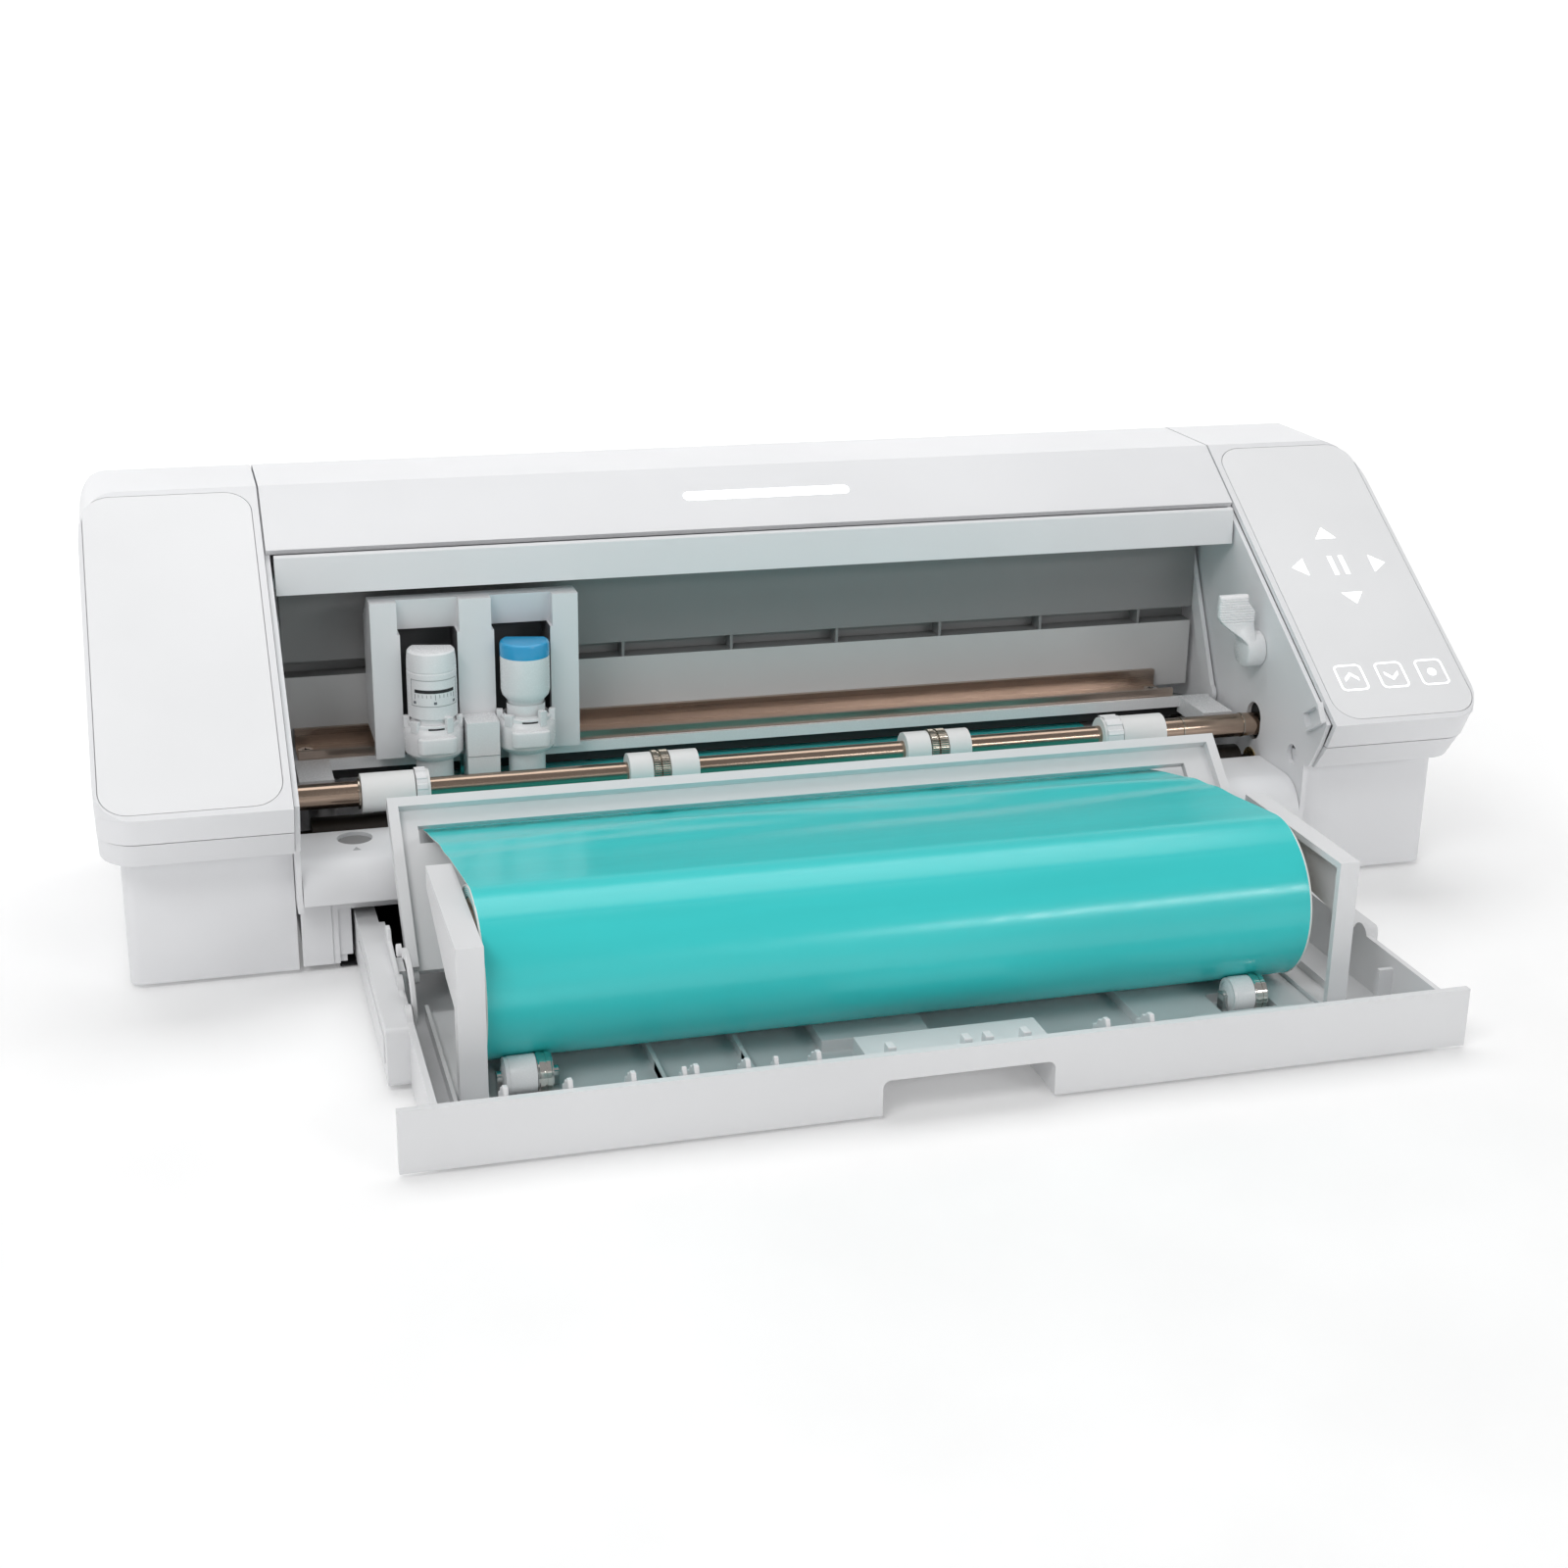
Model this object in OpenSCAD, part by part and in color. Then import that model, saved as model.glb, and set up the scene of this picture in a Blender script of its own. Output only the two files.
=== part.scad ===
// Desktop vinyl cutter for 12 inch media, with a pull-out roll feeder drawer.
// X runs along the machine, Y from front to back, Z up. The origin is on the table,
// under the middle of the whole footprint with the drawer pulled out.

/* [Body] */
// Overall width of the machine
body_w = 570; // [560:1:580]
// Overall height above the table
body_h = 172; // [168:1:176]
// Distance from the origin to the back face
back_y = 168; // [164:1:172]
// Wall thickness of the plastic shells
wall = 2.5; // [2:0.1:3]
// Clear width between the two inner side plates
bay_w = 423.2; // [420:0.2:424]
// Corner radius of the end pods
pod_r = 15; // [10:1:16]

/* [Cutting] */
// Sideways position of the tool carriage, from the middle
carriage_x = -131.5; // [-150:0.5:130]
// Distance between the two tool axes
tool_pitch = 38.6; // [38:0.1:40]
// Diameter of a tool barrel
tool_d = 20.4; // [19:0.1:21]
// Diameter of the pinch shaft
pinch_shaft_d = 9.6; // [8:0.1:10]
// Diameter of the white pinch rollers
pinch_roller_d = 16; // [14:0.5:16]

/* [Roll feeder] */
// Width of the vinyl on the roll, 12 inch class
media_w = 310; // [300:1:310]
// Outer diameter of the vinyl roll
roll_d = 62; // [56:1:62]
// Width of the drawer front
drawer_w = 393; // [388:1:394]
// Sideways offset of the media from the middle of the machine
media_x = -4.6; // [-4.8:0.1:-4]

/* [Hidden] */
$fn = 48;
eps = 0.01;
half_w = body_w / 2;
// Side planes: plate outer face, then the shells start a hair further out
plate_in = bay_w / 2;
plate_out = plate_in + 2;
shell_in = plate_out + 0.3;
bay_x = plate_in - 0.3;
// Side profile of the pods, Y and Z
ridge_y = 110.7;
rim_y = -28;
rim_z = 80.3;
seam_y = -22;
seam_z = 68.7;
foot_y = -13;
foot_z = 57;
seam_gap = 0.4;
slope_a = atan2(body_h - rim_z, ridge_y - rim_y);
slope_len = norm([body_h - rim_z, ridge_y - rim_y]);
back_r = 14;
// Pedestals under the pods
ped_w = 64;
ped_y0 = 3;
ped_y1 = 160;
ped_z0 = 2;
// Openings in the pods for the roller drive, front and back limits
drive_y0 = 16;
drive_y1 = 66;
// Media path
media_z = 50.9;
sheet_t = 0.4;
pinch_y = 40;
pinch_z = 60.1;
pinch_lift = 4;
feed_d = 16;
feed_z = media_z - 0.1 - feed_d / 2;
// Carriage
cover_w = 85.5;
cover_y = 68;
cover_z0 = 64.2;
cover_z1 = 130.6;
tool_y = 63.5;
// Release lever
lever_y = 41;
lever_z = 95;
// Lid pivots on the side plates, and the space kept for the lid's arms
lid_axis_y = 80;
lid_axis_z = 62.5;
arm_in = 208;
// Drawer
drawer_x = 1.7;
drawer_y = -168;
drawer_z0 = 1.7;
drawer_z1 = 24.5;
tray_x0 = -183.5;
tray_x1 = 187.5;
tray_back = -10;
// Roll and its wheels
roll_y = -101;
roll_z = 40.6;
wheel_d = 14;
wheel_y = 24.7;
wheel_z = 11.5;
// Raised flap behind the roll
flap_a = 42;
flap_len = 74;
flap_x0 = -177.2;
flap_x1 = 172.1;
flap_py = -49.6;
flap_pz = 17.4;
flap_t = 3;
slot_s = 59;
slot_half = 3.8;

// ---------- helpers ----------

// Extrudes a Y-Z outline along X
module along_x(x0, x1) {
    translate([x0, 0, 0]) rotate([90, 0, 90]) linear_extrude(x1 - x0) children();
}

// Extrudes an X-Z outline along Y
module along_y(y0, y1) {
    translate([0, y1, 0]) rotate([90, 0, 0]) linear_extrude(y1 - y0) children();
}

// Puts children on the sloping front: local Y is up the slope, local Z points out of it
module on_slope() {
    translate([0, ridge_y, body_h]) rotate([slope_a, 0, 0]) children();
}

// A box from its two opposite corners
module box(a, b) {
    translate(a) cube(b - a);
}

// Flat rectangle with round corners, from its two opposite corners
module round_rect(a, b, r) {
    translate([a[0] + r, a[1]]) square([b[0] - a[0] - 2 * r, b[1] - a[1]]);
    translate([a[0], a[1] + r]) square([b[0] - a[0], b[1] - a[1] - 2 * r]);
    for (x = [a[0] + r, b[0] - r], y = [a[1] + r, b[1] - r]) translate([x, y]) circle(r);
}

// Cylinder along X
module rod_x(x0, x1, d) {
    translate([x0, 0, 0]) rotate([0, 90, 0]) cylinder(d = d, h = x1 - x0);
}

// Ring along X
module ring_x(x0, x1, d, bore) {
    translate([x0, 0, 0]) rotate([0, 90, 0]) difference() {
        cylinder(d = d, h = x1 - x0);
        translate([0, 0, -1]) cylinder(d = bore, h = x1 - x0 + 2);
    }
}

// Builds the right-hand version, or its mirror image for the left
module sided(left) {
    mirror([left ? 1 : 0, 0, 0]) children();
}

// ---------- end pods ----------

// Side outline of a pod, with the back top corner cut for its arc
module pod_outline() {
    polygon([[rim_y, rim_z], [ridge_y, body_h], [back_y - back_r, body_h],
        [back_y, body_h - back_r], [back_y, foot_z], [foot_y, foot_z], [seam_y, seam_z]]);
    translate([back_y - back_r, body_h - back_r]) circle(back_r);
}

// Outline of the hollow inside a pod
module pod_inner_outline() {
    offset(delta = -wall) polygon([[rim_y, rim_z], [ridge_y, body_h],
        [back_y - back_r / 2, body_h], [back_y, body_h - back_r / 2], [back_y, foot_z],
        [foot_y, foot_z], [seam_y, seam_z]]);
}

// Plan and front limits that round the outer corners, kept "inset" inside the outside
module pod_limits(inset) {
    intersection() {
        linear_extrude(body_h + 1)
            round_rect([0, rim_y - 60], [half_w - inset, back_y - inset], pod_r - inset);
        union() {
            linear_extrude_between(rim_z, body_h + 1)
                round_rect([0, rim_y + inset], [half_w - inset, 300], pod_r - inset);
            leaning_limit([rim_y, rim_z], [seam_y, seam_z], inset);
            leaning_limit([seam_y, seam_z], [foot_y, foot_z], inset);
        }
    }
}

// Corner rounding for a stretch of the front that leans back from p down to q
module leaning_limit(p, q, inset) {
    intersection() {
        box([0, rim_y - 1, q[1]], [half_w + 1, back_y, p[1] + eps]);
        translate([0, p[0], p[1]]) rotate([atan2(q[0] - p[0], p[1] - q[1]), 0, 0])
            linear_extrude_between(-120, 30)
                round_rect([0, inset], [half_w - inset, 300], pod_r - inset);
    }
}

module pod_front_limit(inset) {
    r = pod_r - inset;
    along_y(rim_y - 1, back_y + 1) {
        round_rect([0, 0], [half_w - inset, body_h - inset], r);
        square([half_w - inset, foot_z + 20]);
    }
}

module pod_solid() {
    intersection() {
        along_x(shell_in, half_w + 1) pod_outline();
        pod_limits(0);
        pod_front_limit(0);
    }
}

module pod_hollow() {
    intersection() {
        along_x(shell_in - 1, half_w + 1) pod_inner_outline();
        pod_limits(wall);
        pod_front_limit(wall);
    }
}

// Round-cornered panel on the slope; grow widens it for its pocket
module slope_panel(depth, thick, grow) {
    on_slope() translate([0, 0, -depth]) linear_extrude(thick)
        round_rect([shell_in + 3 - grow, -slope_len + 3 - grow], [half_w - 2 + grow, -3 + grow],
            11 + grow);
}

module pod_upper() {
    difference() {
        pod_solid();
        pod_hollow();
        box([0, rim_y - 10, 0], [half_w + 1, back_y + 1, seam_z + seam_gap / 2]);
        slope_panel(1.2, 3, 0.3);
    }
}

module pod_lower() {
    difference() {
        pod_solid();
        pod_hollow();
        box([0, rim_y - 10, seam_z - seam_gap / 2], [half_w + 1, back_y + 1, body_h + 1]);
        box([0, drive_y0, foot_z - 1], [262, drive_y1, foot_z + wall + 1]);
    }
}

module left_upper_shell() color("whitesmoke") sided(true) pod_upper();

module right_upper_shell() color("whitesmoke") difference() {
    pod_upper();
    inlet_cutouts(0.1);
}

module left_lower_shell() color("whitesmoke") sided(true) pod_lower();

module right_lower_shell() color("whitesmoke") sided(false) pod_lower();

module left_top_panel() color("white") sided(true) slope_panel(1.1, 1.1, 0);

// Glass-topped touch panel with pockets for the lit symbols
module control_panel() color("white") difference() {
    slope_panel(1.1, 1.1, 0);
    on_slope() translate([0, 0, -0.5]) linear_extrude(2) icon_shapes(0.05);
}

// Symbols: four jog arrows round a pause sign, then three framed keys
icon_x = 250.2;
icon_pitch = 19.3;
jog_s = 77.3;
key_s = 141;

module arrow_shape(grow) {
    offset(delta = grow) polygon([[-5, -2.6], [5, -2.6], [0, 4]]);
}

module key_frame(grow) {
    difference() {
        round_rect([-6.5 - grow, -7 - grow], [6.5 + grow, 7 + grow], 2.5);
        round_rect([-5.8 + grow, -6.3 + grow], [5.8 - grow, 6.3 - grow], 1.8);
    }
}

module chevron_shape(grow) {
    offset(delta = grow) polygon([[-3.2, -1.8], [0, 1.2], [3.2, -1.8], [3.2, -0.2], [0, 2.8],
        [-3.2, -0.2]]);
}

module icon_shapes(grow) {
    for (k = [0:3]) translate([icon_x, -jog_s]) rotate(90 * k) translate([0, icon_pitch - 0.5])
        arrow_shape(grow);
    for (x = [-2.7, 2.7]) translate([icon_x + x, -jog_s]) square([2 + 2 * grow, 11 + 2 * grow],
        center = true);
    for (k = [-1:1]) translate([icon_x + k * icon_pitch, -key_s]) key_frame(grow);
    translate([icon_x - icon_pitch, -key_s]) chevron_shape(grow);
    translate([icon_x, -key_s]) rotate(180) chevron_shape(grow);
    translate([icon_x + icon_pitch, -key_s]) circle(2 + grow);
}

module touch_icons() color("ivory") on_slope() translate([0, 0, -0.49]) linear_extrude(0.5)
    icon_shapes(0);

// ---------- pedestals and feet ----------

module pedestal(width) {
    difference() {
        linear_extrude_between(ped_z0, foot_z - 0.1) ped_plan(width, 0);
        linear_extrude_between(ped_z0 + wall, foot_z + 1) ped_plan(width, wall);
        box([shell_in - 1, drive_y0, 30], [shell_in + wall + 1, drive_y1, foot_z]);
    }
}

module linear_extrude_between(z0, z1) {
    translate([0, 0, z0]) linear_extrude(z1 - z0) children();
}

// Plan of a pedestal, its outer front corner round
module ped_plan(width, inset) {
    r = 4.5 - inset;
    round_rect([shell_in + 12, ped_y0 + inset], [shell_in + width - inset, ped_y1 - inset], r);
    translate([shell_in + inset, ped_y0 + inset])
        square([ped_w / 2, ped_y1 - ped_y0 - 2 * inset]);
}

module left_pedestal() color("whitesmoke") sided(true) pedestal(ped_w);

module right_pedestal() color("whitesmoke") sided(false) pedestal(ped_w + 3.5);

module rubber_feet() color("dimgray") for (s = [-1, 1], y = [ped_y0 + 16, ped_y1 - 16])
    translate([s * (shell_in + ped_w / 2), y, 0]) cylinder(d = 16, h = ped_z0);

// ---------- middle casing ----------

// Cover over the middle: sloping face, ridge and flat top
module top_strip() color("whitesmoke") difference() {
    along_x(-bay_x - 1.8, bay_x + 1.8) strip_outline();
    on_slope() translate([0, -17, -0.6]) linear_extrude(2)
        round_rect([-37.1, -2.6], [37.1, 2.6], 2.5);
}

strip_drop = 36.4;

module strip_outline() {
    y0 = ridge_y - strip_drop * cos(slope_a);
    z0 = body_h - strip_drop * sin(slope_a);
    polygon([[y0, z0], [ridge_y, body_h], [back_y - back_r, body_h],
        [back_y - back_r, body_h - wall], [ridge_y + 1, body_h - wall],
        [y0 + wall * sin(slope_a), z0 - wall * cos(slope_a)]]);
}

module light_bar() color("lightyellow") on_slope() translate([0, -17, -0.5]) linear_extrude(0.5)
    round_rect([-37, -2.5], [37, 2.5], 2.4);

// Back of the middle casing with the media exit slot
module rear_cover() color("whitesmoke") difference() {
    along_x(-bay_x - 1.8, bay_x + 1.8) union() {
        difference() {
            union() {
                translate([back_y - back_r, body_h - back_r]) circle(back_r);
                translate([back_y - back_r, 30]) square([back_r, body_h - back_r - 30]);
            }
            translate([back_y - back_r, body_h - back_r]) circle(back_r - wall);
            translate([back_y - back_r - 1, 29]) square([back_r + 1 - wall, body_h - back_r - 29]);
            translate([back_y - 3 * back_r, 0]) square([2 * back_r + 0.1, body_h + 1]);
        }
    }
    box([-170, back_y - 5, 46], [170, back_y + 1, 57]);
    for (k = [-4:4]) box([k * 22 - 7, back_y - 5, 92], [k * 22 + 7, back_y + 1, 94.5]);
}

// Wall behind the carriage, with a finned slot along it
module back_wall() color("gainsboro") {
    y = 103;
    slot_z0 = 91.3;
    slot_z1 = 98;
    along_x(-arm_in, arm_in) {
        translate([y, slot_z1]) square([2.6, 29]);
        translate([y, slot_z1]) square([12, 2.4]);
        translate([y + 9.4, slot_z0 - 2.4]) square([2.6, slot_z1 - slot_z0 + 4.8]);
        translate([y, slot_z0 - 2.4]) square([12, 2.4]);
        translate([y, 60.5]) square([2.6, slot_z0 - 60.5]);
    }
    for (k = [-3:4]) along_x(k * 48.8 - 14.2, k * 48.8 - 13)
        translate([y + 0.5, slot_z0 - 0.1]) square([9, slot_z1 - slot_z0 + 0.2]);
}

// Inner side plate that carries the rollers
module side_plate_outline() {
    polygon([[rim_y + 4, rim_z - 0.5], [ridge_y, body_h - 3.4], [back_y - 6, body_h - 3.4],
        [back_y - 6, 30], [-8, 30], [-8, 56.5], [-12, 57.5], [seam_y + 3, seam_z]]);
}

module side_plate(left) {
    sided(left) difference() {
        along_x(plate_in, plate_out) side_plate_outline();
        along_x(plate_in - 1, plate_out + 1) {
            for (dz = [0, pinch_lift]) translate([pinch_y, pinch_z + dz - 0.6]) circle(6.5);
            translate([pinch_y - 6.5, pinch_z - 0.6]) square([13, pinch_lift]);
            translate([pinch_y, feed_z]) circle(6);
            translate([lid_axis_y, lid_axis_z]) circle(3.05);
            if (!left) translate([lever_y, lever_z]) circle(4.05);
            if (!left) translate([3, 58]) circle(4.3);
        }
    }
    if (!left) along_x(plate_in - 2.6, plate_in) translate([-14.6, 80.6])
        rotate(-32) difference() {
            round_rect([-7.6, -4.6], [7.6, 4.6], 1);
            square([12, 6.2], center = true);
        }
}

module left_side_plate() color("gainsboro") side_plate(true);

module right_side_plate() color("gainsboro") side_plate(false);

// Curved lip in front of the rollers
deck_y = -9;
deck_z = 48;

module deck_outline(inset, bottom) {
    r = 16 - inset;
    intersection() {
        union() {
            translate([deck_y + 16, deck_z - 16]) circle(r);
            translate([deck_y + inset, 0]) square([2 * r, deck_z - 16]);
            translate([deck_y + 16, 0]) square([31 - deck_y - 16, deck_z - inset]);
        }
        translate([deck_y - 1, bottom]) square([50, 50]);
    }
}

module front_deck() color("whitesmoke") difference() {
    along_x(-bay_x, bay_x) difference() {
        deck_outline(0, 33);
        translate([1, 0]) deck_outline(wall, 20);
    }
    translate([-188.5, 22, deck_z - 1.6]) cylinder(d = 14, h = 2);
}

module platen() color("silver") difference() {
    box([-178, 49, 47], [178, 100, media_z - 0.3]);
    box([-170, tool_y - 2.5, media_z - 1.3], [170, tool_y + 2.5, media_z + 1]);
}

// Floor over the drawer bay, with the two front filler panels
module base_pan() color("whitesmoke") {
    box([-bay_x, 3, 26], [bay_x, ped_y1, 28.5]);
    for (s = [[-bay_x, -198], [201.5, bay_x]]) difference() {
        box([s[0], 3, 3], [s[1], ped_y1, 26.1]);
        box([s[0] + 2, 3 + wall, 2], [s[1] - 2, ped_y1 - wall, 24]);
    }
    for (x = [-198.1, 198.6]) box([x, 5, 3], [x + 3, ped_y1, 26.1]);
}

// White strip in front of the rail, with a small hooded block at each end
module sheet_guide() color("white") {
    box([-arm_in, 77.2, 57.8], [arm_in, 79.2, 62.5]);
    for (s = [-1, 1]) difference() {
        box([s * 200 - 7, 52, 55], [s * 200 + 7, 79.2, 62.5]);
        box([s * 200 - 5, 51, 54], [s * 200 + 5, 65, 60.8]);
    }
}

// Anodised channel that carries the carriage
rail_x0 = -205;
rail_x1 = 190.5;
rail_hole_x = [-178, -24, 130];
rail_screw_x = [-201.5, 184];
rail_y0 = 79.6;
rail_y1 = 102.8;

module carriage_rail() color("rosybrown") difference() {
    box([rail_x0, rail_y0, 59], [rail_x1, rail_y1, 69]);
    box([rail_x0 - 1, rail_y0 + 2.2, 61.6], [rail_x1 + 1, rail_y1 - 2.2, 70]);
    box([rail_x0 - 1, rail_y0 - 1, 66], [rail_x1 + 1, rail_y0 + 3, 70]);
    for (x = rail_hole_x) translate([x, 90, 50]) cylinder(d = 5, h = 20);
    for (x = rail_screw_x) translate([x, 90, 50]) cylinder(d = 3.2, h = 20);
}

module rail_screws() color("silver") for (x = rail_screw_x) translate([x, 90, 0]) {
    translate([0, 0, 61.6]) cylinder(d = 6, h = 2);
    translate([0, 0, 58.2]) cylinder(d = 3, h = 4);
}

// ---------- drive ----------

module feed_bearings() color("goldenrod") for (s = [false, true]) sided(s)
    translate([0, pinch_y, feed_z]) ring_x(plate_in - 0.5, plate_out + 1.5, 12, 6.06);

module feed_roller() color("saddlebrown") translate([0, pinch_y, feed_z]) {
    rod_x(-204, 204, feed_d);
    rod_x(-228, 222, 6);
}

gear_x = -227;
gear_d = 40;
pinion_d = 10;
pinion_z = feed_z + (gear_d + pinion_d) / 2 + 0.3;

module feed_gear() color("ivory") translate([0, pinch_y, feed_z]) difference() {
    rod_x(gear_x, gear_x + 6, gear_d);
    rod_x(gear_x - 1, gear_x + 7, 6);
}

module motor_pinion() color("goldenrod") translate([0, pinch_y, pinion_z])
    ring_x(gear_x, gear_x + 6, pinion_d, 4);

module feed_motor() color("dimgray") translate([0, pinch_y, pinion_z]) {
    along_x(gear_x - 32, gear_x - 2) round_rect([-14, -14], [14, 14], 3);
    rod_x(gear_x - 3, gear_x + 6.5, 3.9);
    for (y = [-10.5, 10.5]) translate([0, y, 10.5]) rod_x(gear_x - 3, -plate_out, 5);
}

// Toothed belt loop under the rail, round two upright pulleys
belt_y = 89;
belt_z0 = 53.2;
belt_z1 = 57.6;
pulley_d = 16;
pulley_x = [-196, 196];

module drive_belt() color("black") linear_extrude_between(belt_z0, belt_z1) difference() {
    belt_loop(pulley_d / 2 + 1.2);
    belt_loop(pulley_d / 2 + 0.1);
}

module belt_loop(r) {
    translate([pulley_x[0], belt_y - r]) square([pulley_x[1] - pulley_x[0], 2 * r]);
    for (x = pulley_x) translate([x, belt_y]) circle(r);
}

module pulley(x) {
    translate([x, belt_y, 0]) difference() {
        union() {
            translate([0, 0, belt_z0 - 0.1]) cylinder(d = pulley_d, h = belt_z1 - belt_z0 + 0.2);
            translate([0, 0, belt_z0 - 1]) cylinder(d = pulley_d + 4, h = 0.8);
        }
        translate([0, 0, belt_z0 - 2]) cylinder(d = 4.1, h = 10);
    }
}

module drive_pulley() color("silver") pulley(pulley_x[1]);

module idler_pulley() color("silver") pulley(pulley_x[0]);

module carriage_motor() color("dimgray") translate([pulley_x[1], belt_y, 0]) {
    translate([0, 0, 28.5]) linear_extrude(20) round_rect([-14, -14], [14, 14], 3);
    translate([0, 0, 48]) cylinder(d = 4, h = 9.5);
}

module idler_post() color("dimgray") translate([pulley_x[0], belt_y, 0]) {
    translate([0, 0, 28.5]) cylinder(d = 12, h = 20);
    translate([0, 0, 48]) cylinder(d = 4, h = 9.5);
}

module control_board() color("seagreen") {
    box([222, 84, 62], [275, 152, 63.6]);
    for (x = [229, 244, 260]) box([x, 96, 63.5], [x + 9, 108, 66.5]);
    for (x = [226, 268], y = [88, 148]) translate([x, y, 59.5]) cylinder(d = 5, h = 2.6);
}

// Sockets on the back of the right pod
module inlet_cutouts(grow) {
    translate([240, back_y + 1, 92]) rotate([90, 0, 0]) cylinder(d = 11 + grow, h = 8);
    box([257 - grow, back_y - 7, 87 - grow], [269 + grow, back_y + 1, 97.5 + grow]);
}

module power_inlet() color("dimgray") translate([240, back_y - 0.5, 92]) rotate([90, 0, 0])
    difference() {
        cylinder(d = 11, h = 13);
        translate([0, 0, -1]) cylinder(d = 6.4, h = 10);
    }

module usb_port() color("silver") difference() {
    box([257, back_y - 15, 87], [269, back_y - 0.5, 97.5]);
    box([258.5, back_y - 11, 88.5], [267.5, back_y, 96]);
}

// ---------- lid ----------

// Leaf that swings down over the opening on two arms; the origin here is its front edge
lid_a = 27.9;
lid_len = 88.8;
lid_t = 2.6;
lid_y = 76.4;
lid_z = 147.7;
lid_half = 210.4;

module lid() color("whitesmoke") {
    along_x(-lid_half, lid_half) translate([lid_y, lid_z]) {
        rotate(-lid_a) translate([0, -lid_t]) square([lid_len, lid_t]);
        polygon([[0.6, -0.3], [0.4, 2.9], [-2.2, 3.2], [-3, 2.4], [-4.4, -12.6], [0.8, -12.8],
            [5.4, -4], [5.4, -2.7]]);
    }
    for (s = [false, true]) sided(s) {
        along_x(arm_in + 0.4, lid_half) translate([lid_axis_y, lid_axis_z]) {
            circle(5);
            rotate(90 - lid_a) translate([0, -4]) square([71.4, 8]);
        }
        translate([0, lid_axis_y, lid_axis_z]) rod_x(arm_in + 0.4, plate_out - 0.1, 6);
    }
}

// ---------- carriage and tools ----------

// Moves children to the carriage
module at_carriage() {
    translate([carriage_x, 0, 0]) children();
}

tool_open = 23.4;

module carriage_cover() color("whitesmoke") at_carriage() difference() {
    along_x(-cover_w / 2, cover_w / 2) polygon([[cover_y, cover_z0], [cover_y, cover_z1],
        [cover_y + 12, cover_z1], [cover_y + 30, cover_z1 - 12], [cover_y + 30, 70.5],
        [cover_y + 5, 70.5], [cover_y + 5, cover_z0]]);
    for (s = [-1, 1]) translate([s * tool_pitch / 2, 0, 0]) {
        box([-tool_open / 2, cover_y - 1, 60], [tool_open / 2, cover_y + 22, 117]);
        along_x(-tool_open / 2 - 1, tool_open / 2 + 1)
            polygon([[cover_y - 1, cover_z1 + 1], [cover_y + 4, cover_z1 + 1],
                [cover_y + 9, 116.9], [cover_y - 1, 116.9]]);
    }
    box([-5.4, cover_y + 2.2, 72.5], [5.4, cover_y + 31, 116]);
    for (s = [-1, 1]) box([s * 36.8 - 3.8, cover_y + 2.2, 72.5], [s * 36.8 + 3.8, cover_y + 31, 116]);
    box([-40.6, cover_y + 24, 72.5], [40.6, cover_y + 31, 116]);
}

// Slider that runs in the rail, with a tongue down to the belt in front of it
module carriage_block() color("silver") at_carriage() {
    box([-36, rail_y0 + 2.6, 62], [36, rail_y1 - 2.6, 70.2]);
    box([-7.4, 73.4, 66.3], [7.4, rail_y0 + 3, 70.2]);
    box([-7.4, 73.4, 53.6], [7.4, 75.7, 70.2]);
    box([-7.4, 73.4, 53.6], [7.4, 79.7, 57.2]);
}

module sensor_block() color("white") at_carriage() {
    box([-6.7, cover_y - 14, 67.2], [6.7, cover_y - 0.1, 81.5]);
    box([-6.7, cover_y - 13.4, 54.5], [6.7, cover_y - 0.1, 66.8]);
    box([-5, cover_y - 12.5, 66.7], [5, cover_y - 0.1, 67.3]);
}

// Moves children to the axis of tool 0 or 1
module at_tool(k) {
    at_carriage() translate([(k - 0.5) * tool_pitch, tool_y, 0]) children();
}

clamp_z0 = 66;
clamp_z1 = 80;
nozzle_z = 54.7;

// Holder round the bottom of a tool: full round in front, narrower between the columns
module tool_clamp() {
    difference() {
        union() {
            intersection() {
                linear_extrude_between(clamp_z0, clamp_z1) circle(d = 24.6);
                box([-20, -20, 0], [20, cover_y - tool_y - 0.3, 200]);
            }
            linear_extrude_between(clamp_z0, clamp_z1) intersection() {
                circle(d = 24.6);
                square([22.4, 40], center = true);
            }
        }
        translate([0, 0, clamp_z0 - 1]) cylinder(d = 18.1, h = 20);
    }
}

module blade_tool_clamp() color("white") at_tool(0) tool_clamp();

module pen_tool_clamp() color("white") at_tool(1) tool_clamp();

// Barrel with a neck that sits in the clamp and a nozzle below
module tool_barrel(top) {
    translate([0, 0, clamp_z1]) cylinder(d = tool_d - 2, h = 4.2);
    translate([0, 0, clamp_z1 + 4]) cylinder(d = tool_d, h = top - clamp_z1 - 4);
    translate([0, 0, clamp_z0 - 0.5]) cylinder(d = 18, h = clamp_z1 - clamp_z0 + 1);
    translate([0, 0, nozzle_z]) difference() {
        cylinder(d = 15.4, h = clamp_z0 - nozzle_z);
        translate([0, 0, -1]) cylinder(d = 3, h = 5);
    }
}

module blade_tool() color("whitesmoke") at_tool(0) difference() {
    tool_barrel(112.5);
    box([-12, -tool_d, 108.5], [12, -6.5, 120]);
}

module pen_tool() color("white") at_tool(1) tool_barrel(106.8);

module pen_tool_cap() color("deepskyblue") at_tool(1) difference() {
    translate([0, 0, 106.9]) cylinder(d = tool_d, h = 6.6);
    box([-12, 6, 100], [12, tool_d, 120]);
}

// ---------- pinch rollers and release lever ----------

module pinch_bearings() color("ivory") for (s = [false, true]) sided(s)
    translate([0, pinch_y, pinch_z]) difference() {
        along_x(plate_out + 0.4, plate_out + 5) round_rect([-8, -6.6], [8, 8], 2);
        rod_x(plate_out, plate_out + 6, pinch_shaft_d + 0.9);
    }

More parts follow.
